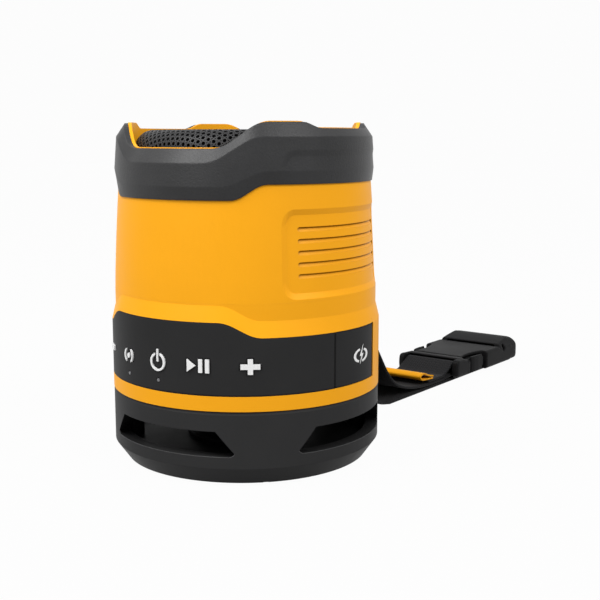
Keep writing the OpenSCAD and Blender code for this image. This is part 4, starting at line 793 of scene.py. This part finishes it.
HOUSING_FINISHES = (
    # Painted shade in the housing's grooves and recesses
    (
        "housing_amber", "housing", 0.45,
        dict(grain=2400, depth=0.012, tone=0.015, edge=0.15, painted_edge_light=0.0, hollow=0.5, reach=2.6, specular=0.12),
        ("lower_housing", "upper_housing"),
    ),
    (
        "crown_amber", "crown", 0.45,
        dict(grain=2400, depth=0.012, tone=0.015, painted_edge_light=0.05, specular=0.18),
        ("crown_ring",),
    ),
    # Painted highlight on the bumper's edges and painted shade in its grooves
    (
        "bumper_rubber", "rubber", 0.42,
        dict(grain=1500, depth=0.09, tone=0.2, edge=0.7, painted_edge_light=0.2, hollow=0.8, reach=2.2, specular=0.25),
        ("bumper",),
    ),
    # Painted highlight on the edges, stronger on the window sills that face up, and painted shade inside the
    # windows and on the cage within 42.5 mm of the axis
    (
        "base_plastic", "base", 0.46,
        dict(
            grain=1900, depth=0.02, tone=0.05, edge=0.35, painted_edge_light=0.3, painted_upper_highlight=3.5, hollow=0.85, reach=16,
            core=42.5, specular=0.04,
        ),
        ("base_cage", "strap_bracket"),
    ),
    # The diffuser takes the buckle's near-black, darker than the base around it, as painted shade inside the
    # windows; its edges get a painted highlight
    ("horn_plastic", "buckle", 0.55, dict(tone=0.05, painted_edge_light=0.2, specular=0.06), ("sound_diffuser",)),
    ("foot_rubber", "base", 0.8, dict(grain=1200, depth=0.05, tone=0.08), ("foot_ring",)),
)


class SPEAKER_OT_housing(bpy.types.Operator):
    """Finish the housings, the bumper, the crown and the base"""

    bl_idname = "speaker.housing"
    bl_label = "Housing"

    def execute(self, context):
        dress_all(HOUSING_FINISHES)
        return {"FINISHED"}


BELT_FINISHES = (
    # Painted shade along the panel's borders and round its key holes, and a painted highlight on its upper
    # edges
    (
        "panel_skin", "panel", 0.42,
        dict(grain=2000, depth=0.015, tone=0.05, edge=1.1, painted_edge_light=-0.7, painted_upper_highlight=0.4, specular=0.03),
        ("control_panel", "usb_cover"),
    ),
    (
        "light_pipe", (0.16, 0.16, 0.17), 0.25,
        dict(grain=3000, depth=0.004, edge=0.1, painted_edge_light=0.1),
        ("light_pipes",),
    ),
)
KEYS = ("key_minus", "key_pair", "key_power", "key_play", "key_plus")
# Charging sign: its place round the belt in degrees and up in millimetres, and how deep it sits
SIGN_TURN, SIGN_Z, SIGN_SINK = 91.1, 39.6, 0.02
# Radius and stroke of its ring in millimetres, how much wider than high it is, and start and run of its arcs
SIGN_R, SIGN_STROKE, SIGN_STRETCH = 2.45, 0.7, 1.85
SIGN_ARCS = ((102, 147), (-79, 140))
SIGN_BOLT = ((1.3, 3.6), (-0.9, -0.3), (0.15, -0.3), (-0.75, -3.1), (1.5, 0.5), (0.45, 0.5))


class SPEAKER_OT_keys(bpy.types.Operator):
    """Finish the key belt, its keys and the charging cover"""

    bl_idname = "speaker.keys"
    bl_label = "Keys"

    def execute(self, context):
        dress_all(BELT_FINISHES)
        white = moulded(
            "sign_white", colours().sign, 0.4, grain=3000, depth=0.006, tone=0.01, edge=0.12, painted_edge_light=0.0
        )
        dress(white, *KEYS)
        self.charge_sign(white)
        return {"FINISHED"}

    def charge_sign(self, mat):
        """Open oval with a bolt through it, raised on the charging cover."""
        height = sizes().sign_height / MM
        bm = bmesh.new()
        for start, run in SIGN_ARCS:
            edge = [bm.verts.new((r, 0, 0)) for r in (SIGN_R - SIGN_STROKE, SIGN_R)]
            line = bm.edges.new(edge)
            turn = Matrix.Rotation(math.radians(start), 3, "Z")
            bmesh.ops.rotate(bm, cent=(0, 0, 0), matrix=turn, verts=edge)
            bmesh.ops.spin(
                bm, geom=edge + [line], cent=(0, 0, 0), axis=(0, 0, 1), angle=math.radians(run), steps=18
            )
        bmesh.ops.scale(bm, vec=(SIGN_STRETCH, 1, 1), verts=bm.verts)
        bm.faces.new([bm.verts.new((x, y, 0)) for x, y in SIGN_BOLT])
        bm.normal_update()
        bmesh.ops.reverse_faces(bm, faces=[face for face in bm.faces if face.normal.z < 0])
        grown = bmesh.ops.extrude_face_region(bm, geom=list(bm.faces))["geom"]
        raised = [item for item in grown if isinstance(item, bmesh.types.BMVert)]
        bmesh.ops.translate(bm, vec=(0, 0, height), verts=raised)
        for vert in bm.verts:
            turn = math.radians(SIGN_TURN) + vert.co.x / BELT_R
            out = (BELT_R - SIGN_SINK + vert.co.z) * MM
            vert.co = Vector((out * math.sin(turn), -out * math.cos(turn), (SIGN_Z + vert.co.y) * MM))
        piece_from(bm, "charge_sign", mat, "usb_cover", smooth_angle=35.0)


# Buckle: fineness of its remeshed copy, and rounds of smoothing, everywhere and where its form is fuller
BUCKLE_VOXEL = 0.3 * MM
SOFT_ROUNDS, FULL_ROUNDS = 10, 60
# Lengths of the fuller forms in millimetres: the socket's far end, and the plug's shoulders beside the strap
SOCKET_FULL, PLUG_FULL, PLUG_SHOULDER = 9, 8, 1


def smooth(bm, verts, rounds):
    for _ in range(rounds):
        bmesh.ops.smooth_vert(
            bm, verts=verts, factor=0.5, use_axis_x=True, use_axis_y=True, use_axis_z=True
        )


def softened(name, fuller):
    """Bmesh of a CAD node with its moulded edges rounded: remeshed finely, then smoothed.

    Where fuller holds for a point, in the strap's own axes, more rounds make a fuller curve.
    """
    bm = bmesh.new()
    bm.from_mesh(NODES[name].data)
    bmesh.ops.remove_doubles(bm, verts=bm.verts, dist=1e-6)
    mesh = bpy.data.meshes.new(name + "_merged")
    bm.to_mesh(mesh)
    bm.free()
    block = bpy.data.objects.new(name + "_merged", mesh)
    bpy.context.scene.collection.objects.link(block)
    remesh = block.modifiers.new("voxels", "REMESH")
    remesh.mode = "VOXEL"
    remesh.voxel_size = BUCKLE_VOXEL
    remeshed = block.evaluated_get(bpy.context.evaluated_depsgraph_get())
    fine = bpy.data.meshes.new_from_object(remeshed)
    bpy.data.objects.remove(block)
    bpy.data.meshes.remove(mesh)
    bm = bmesh.new()
    bm.from_mesh(fine)
    bpy.data.meshes.remove(fine)
    smooth(bm, bm.verts, SOFT_ROUNDS)
    if fuller:
        straight = strap_matrix().inverted()
        smooth(bm, [vert for vert in bm.verts if fuller(straight @ vert.co / MM)], FULL_ROUNDS)
    return bm


class SPEAKER_OT_buckle(bpy.types.Operator):
    """Round and finish the side-release buckle"""

    bl_idname = "speaker.buckle"
    bl_label = "Buckle"

    def execute(self, context):
        # Painted highlight on the buckle's edges, stronger on those that face up, and painted shade in its
        # slots and corners
        mat = moulded(
            "buckle_satin", colours().buckle, 0.5, grain=2600, depth=0.008, tone=0.04, edge=0.3, painted_edge_light=0.9,
            painted_upper_highlight=2.0, hollow=0.6, specular=0.06,
        )
        for name, piece, body, fuller in (
            ("buckle_socket", "socket_moulding", "speaker", self.at_far_end),
            ("buckle_plug", "plug_moulding", "buckle_plug", self.at_shoulder),
            ("buckle_arm_left", "left_arm_moulding", "buckle_arm_left", None),
            ("buckle_arm_right", "right_arm_moulding", "buckle_arm_right", None),
        ):
            bm = softened(name, fuller)
            piece_from(bm, piece, mat, body, smooth_angle=80.0, replaces=(name,))
        return {"FINISHED"}

    def at_far_end(self, point):
        return point.y > SOCKET_END - SOCKET_FULL

    def at_shoulder(self, point):
        beside = abs(point.x) > sizes().strap_width / MM / 2 + PLUG_SHOULDER
        return beside and point.y < BAR[0] + PLUG_FULL


# Each of these finishes gets a painted highlight on its edges
INNER_FINISHES = (
    (
        "plated_steel", (0.55, 0.56, 0.58), 0.3,
        dict(grain=900, depth=0.004, tone=0.04, metallic=1.0, painted_edge_light=0.1),
        (
            "base_screws", "usb_socket", "driver_top_plate", "driver_yoke", "driver_screws",
            "radiator_screws", "bracket_screws", "radiator_plate",
        ),
    ),
    (
        "board_mask", (0.02, 0.12, 0.05), 0.35,
        dict(grain=600, depth=0.01, tone=0.08),
        ("key_board", "usb_board", "main_board"),
    ),
    (
        "inner_plastic", (0.03, 0.03, 0.032), 0.5,
        dict(tone=0.05),
        ("tact_switches", "usb_tongue", "battery_tray", "board_parts", "radiator_frame"),
    ),
    ("cell_sleeve", (0.03, 0.11, 0.3), 0.3, dict(grain=400, depth=0.01), ("battery_cells",)),
    ("basket_paint", (0.05, 0.05, 0.055), 0.45, dict(tone=0.05), ("driver_basket",)),
    ("ferrite", (0.04, 0.04, 0.042), 0.6, dict(grain=1200, depth=0.02, tone=0.1), ("driver_magnet",)),
    ("coil_wire", (0.6, 0.28, 0.1), 0.35, dict(grain=2500, depth=0.02, metallic=0.8), ("voice_coil",)),
    (
        "cone_paper", (0.03, 0.03, 0.033), 0.8,
        dict(grain=700, depth=0.05, tone=0.12, sheen=0.2),
        ("driver_cone", "dust_cap", "spider"),
    ),
    (
        "surround_rubber", (0.02, 0.02, 0.021), 0.6,
        dict(tone=0.06),
        ("driver_surround", "radiator_surround", "driver_gasket"),
    ),
)


class SPEAKER_OT_insides(bpy.types.Operator):
    """Finish the driver, the radiator, the boards and the cells"""

    bl_idname = "speaker.insides"
    bl_label = "Insides"

    def execute(self, context):
        dress_all(INNER_FINISHES)
        return {"FINISHED"}


# Stage, in metres and degrees
CAMERA_PLACE = (0.2226, -0.2933, 0.1117)
CAMERA_TILT, CAMERA_YAW = 81.12, 34.2
LAMP_AIM = Vector((0, 0.02, 0.055))
KEY_PLACE, KEY_SIZE = (-0.2, -0.82, 0.6), 0.36
FILL_PLACE, FILL_SIZE = (0.7, -0.05, 0.75), 0.5
TOP_PLACE, TOP_SIZE = (-0.3, -0.45, 0.95), 0.4
# Half the floor's side, its grey, and how much of its white and the sky's the seen rays get
FLOOR_HALF = 3.0
FLOOR_GREY = 0.3
FLOOR_WHITE, SKY_WHITE = 0.97, 0.975


class SPEAKER_OT_stage(bpy.types.Operator):
    """Set the floor, the lamps and the camera"""

    bl_idname = "speaker.stage"
    bl_label = "Stage"

    def execute(self, context):
        scene = context.scene
        stage = scene.speaker_stage
        scene.view_settings.view_transform = "Standard"
        camera = bpy.data.cameras.new("photo_camera")
        camera.lens = stage.lens
        camera.sensor_width = 36.0
        camera.clip_start = 0.01
        eye = bpy.data.objects.new("photo_camera", camera)
        eye.location = CAMERA_PLACE
        eye.rotation_euler = (math.radians(CAMERA_TILT), 0.0, math.radians(CAMERA_YAW))
        scene.collection.objects.link(eye)
        scene.camera = eye
        self.floor(scene)
        self.lamp(scene, "key_lamp", KEY_PLACE, KEY_SIZE, stage.key_power)
        self.lamp(scene, "fill_lamp", FILL_PLACE, FILL_SIZE, stage.fill_power)
        self.lamp(scene, "top_lamp", TOP_PLACE, TOP_SIZE, stage.top_power)
        self.sky(scene, stage.sky)
        return {"FINISHED"}

    def lamp(self, scene, name, place, size, power):
        """Square lamp that points at the speaker."""
        light = bpy.data.lights.new(name, "AREA")
        light.size = size
        light.energy = power
        lamp = bpy.data.objects.new(name, light)
        lamp.location = place
        lamp.rotation_euler = (LAMP_AIM - Vector(place)).to_track_quat("-Z", "Y").to_euler()
        scene.collection.objects.link(lamp)

    def floor(self, scene):
        """Pale floor, nearly white to the rays that see it and grey to the light."""
        bm = bmesh.new()
        bmesh.ops.create_grid(bm, x_segments=1, y_segments=1, size=FLOOR_HALF)
        mesh = bpy.data.meshes.new("floor")
        bm.to_mesh(mesh)
        bm.free()
        mat = bpy.data.materials.new("pale_floor")
        mat.use_nodes = True
        tree = mat.node_tree
        shader = tree.nodes["Principled BSDF"]
        shader.inputs["Base Color"].default_value = (FLOOR_GREY, FLOOR_GREY, FLOOR_GREY, 1)
        shader.inputs["Roughness"].default_value = 0.9
        glow = tree.nodes.new("ShaderNodeEmission")
        glow.inputs["Color"].default_value = (1, 1, 1, 1)
        mix = tree.nodes.new("ShaderNodeMixShader")
        tree.links.new(math_node(tree, "MULTIPLY", self.seen_rays(tree), FLOOR_WHITE), mix.inputs["Fac"])
        tree.links.new(shader.outputs["BSDF"], mix.inputs[1])
        tree.links.new(glow.outputs["Emission"], mix.inputs[2])
        tree.links.new(mix.outputs["Shader"], tree.nodes["Material Output"].inputs["Surface"])
        mesh.materials.append(mat)
        floor = bpy.data.objects.new("floor", mesh)
        scene.collection.objects.link(floor)

    def seen_rays(self, tree):
        """1 for rays from the camera and for mirror and clear rays."""
        path = tree.nodes.new("ShaderNodeLightPath").outputs
        both = math_node(tree, "MAXIMUM", path["Is Camera Ray"], path["Is Transmission Ray"])
        return math_node(tree, "MAXIMUM", both, path["Is Glossy Ray"])

    def sky(self, scene, strength):
        """Even light from all round, nearly white to the rays that see it."""
        world = bpy.data.worlds.new("studio_sky")
        scene.world = world
        world.use_nodes = True
        tree = world.node_tree
        background = tree.nodes["Background"]
        background.inputs["Color"].default_value = (1, 1, 1, 1)
        level = map_range(tree, self.seen_rays(tree), 0.0, 1.0, strength, SKY_WHITE)
        tree.links.new(level, background.inputs["Strength"])


OPERATORS = (
    SPEAKER_OT_stage,
    SPEAKER_OT_strap,
    SPEAKER_OT_housing,
    SPEAKER_OT_keys,
    SPEAKER_OT_grille,
    SPEAKER_OT_buckle,
    SPEAKER_OT_insides,
)


class SPEAKER_PT_sidebar(bpy.types.Panel):
    """Lists the speaker's operators and values"""

    bl_label = "Speaker"
    bl_idname = "SPEAKER_PT_sidebar"
    bl_space_type = "VIEW_3D"
    bl_region_type = "UI"
    bl_category = "Speaker"

    def draw(self, context):
        scene = context.scene
        for operator in OPERATORS:
            self.layout.operator(operator.bl_idname)
        for group in (scene.speaker_colours, scene.speaker_sizes, scene.speaker_stage):
            box = self.layout.box()
            for name in group.bl_rna.properties.keys():
                if name not in {"rna_type", "name"}:
                    box.prop(group, name)


CLASSES = (SpeakerColours, SpeakerSizes, StageSettings) + OPERATORS + (SPEAKER_PT_sidebar,)


def register():
    for cls in CLASSES:
        bpy.utils.register_class(cls)
    bpy.types.Scene.speaker_colours = PointerProperty(type=SpeakerColours)
    bpy.types.Scene.speaker_sizes = PointerProperty(type=SpeakerSizes)
    bpy.types.Scene.speaker_stage = PointerProperty(type=StageSettings)


def unregister():
    del bpy.types.Scene.speaker_stage
    del bpy.types.Scene.speaker_sizes
    del bpy.types.Scene.speaker_colours
    for cls in reversed(CLASSES):
        bpy.utils.unregister_class(cls)


def main():
    register()
    bpy.ops.speaker.stage()
    bpy.ops.speaker.strap()
    bpy.ops.speaker.housing()
    bpy.ops.speaker.keys()
    bpy.ops.speaker.grille()
    bpy.ops.speaker.buckle()
    bpy.ops.speaker.insides()


if __name__ == "__main__":
    main()
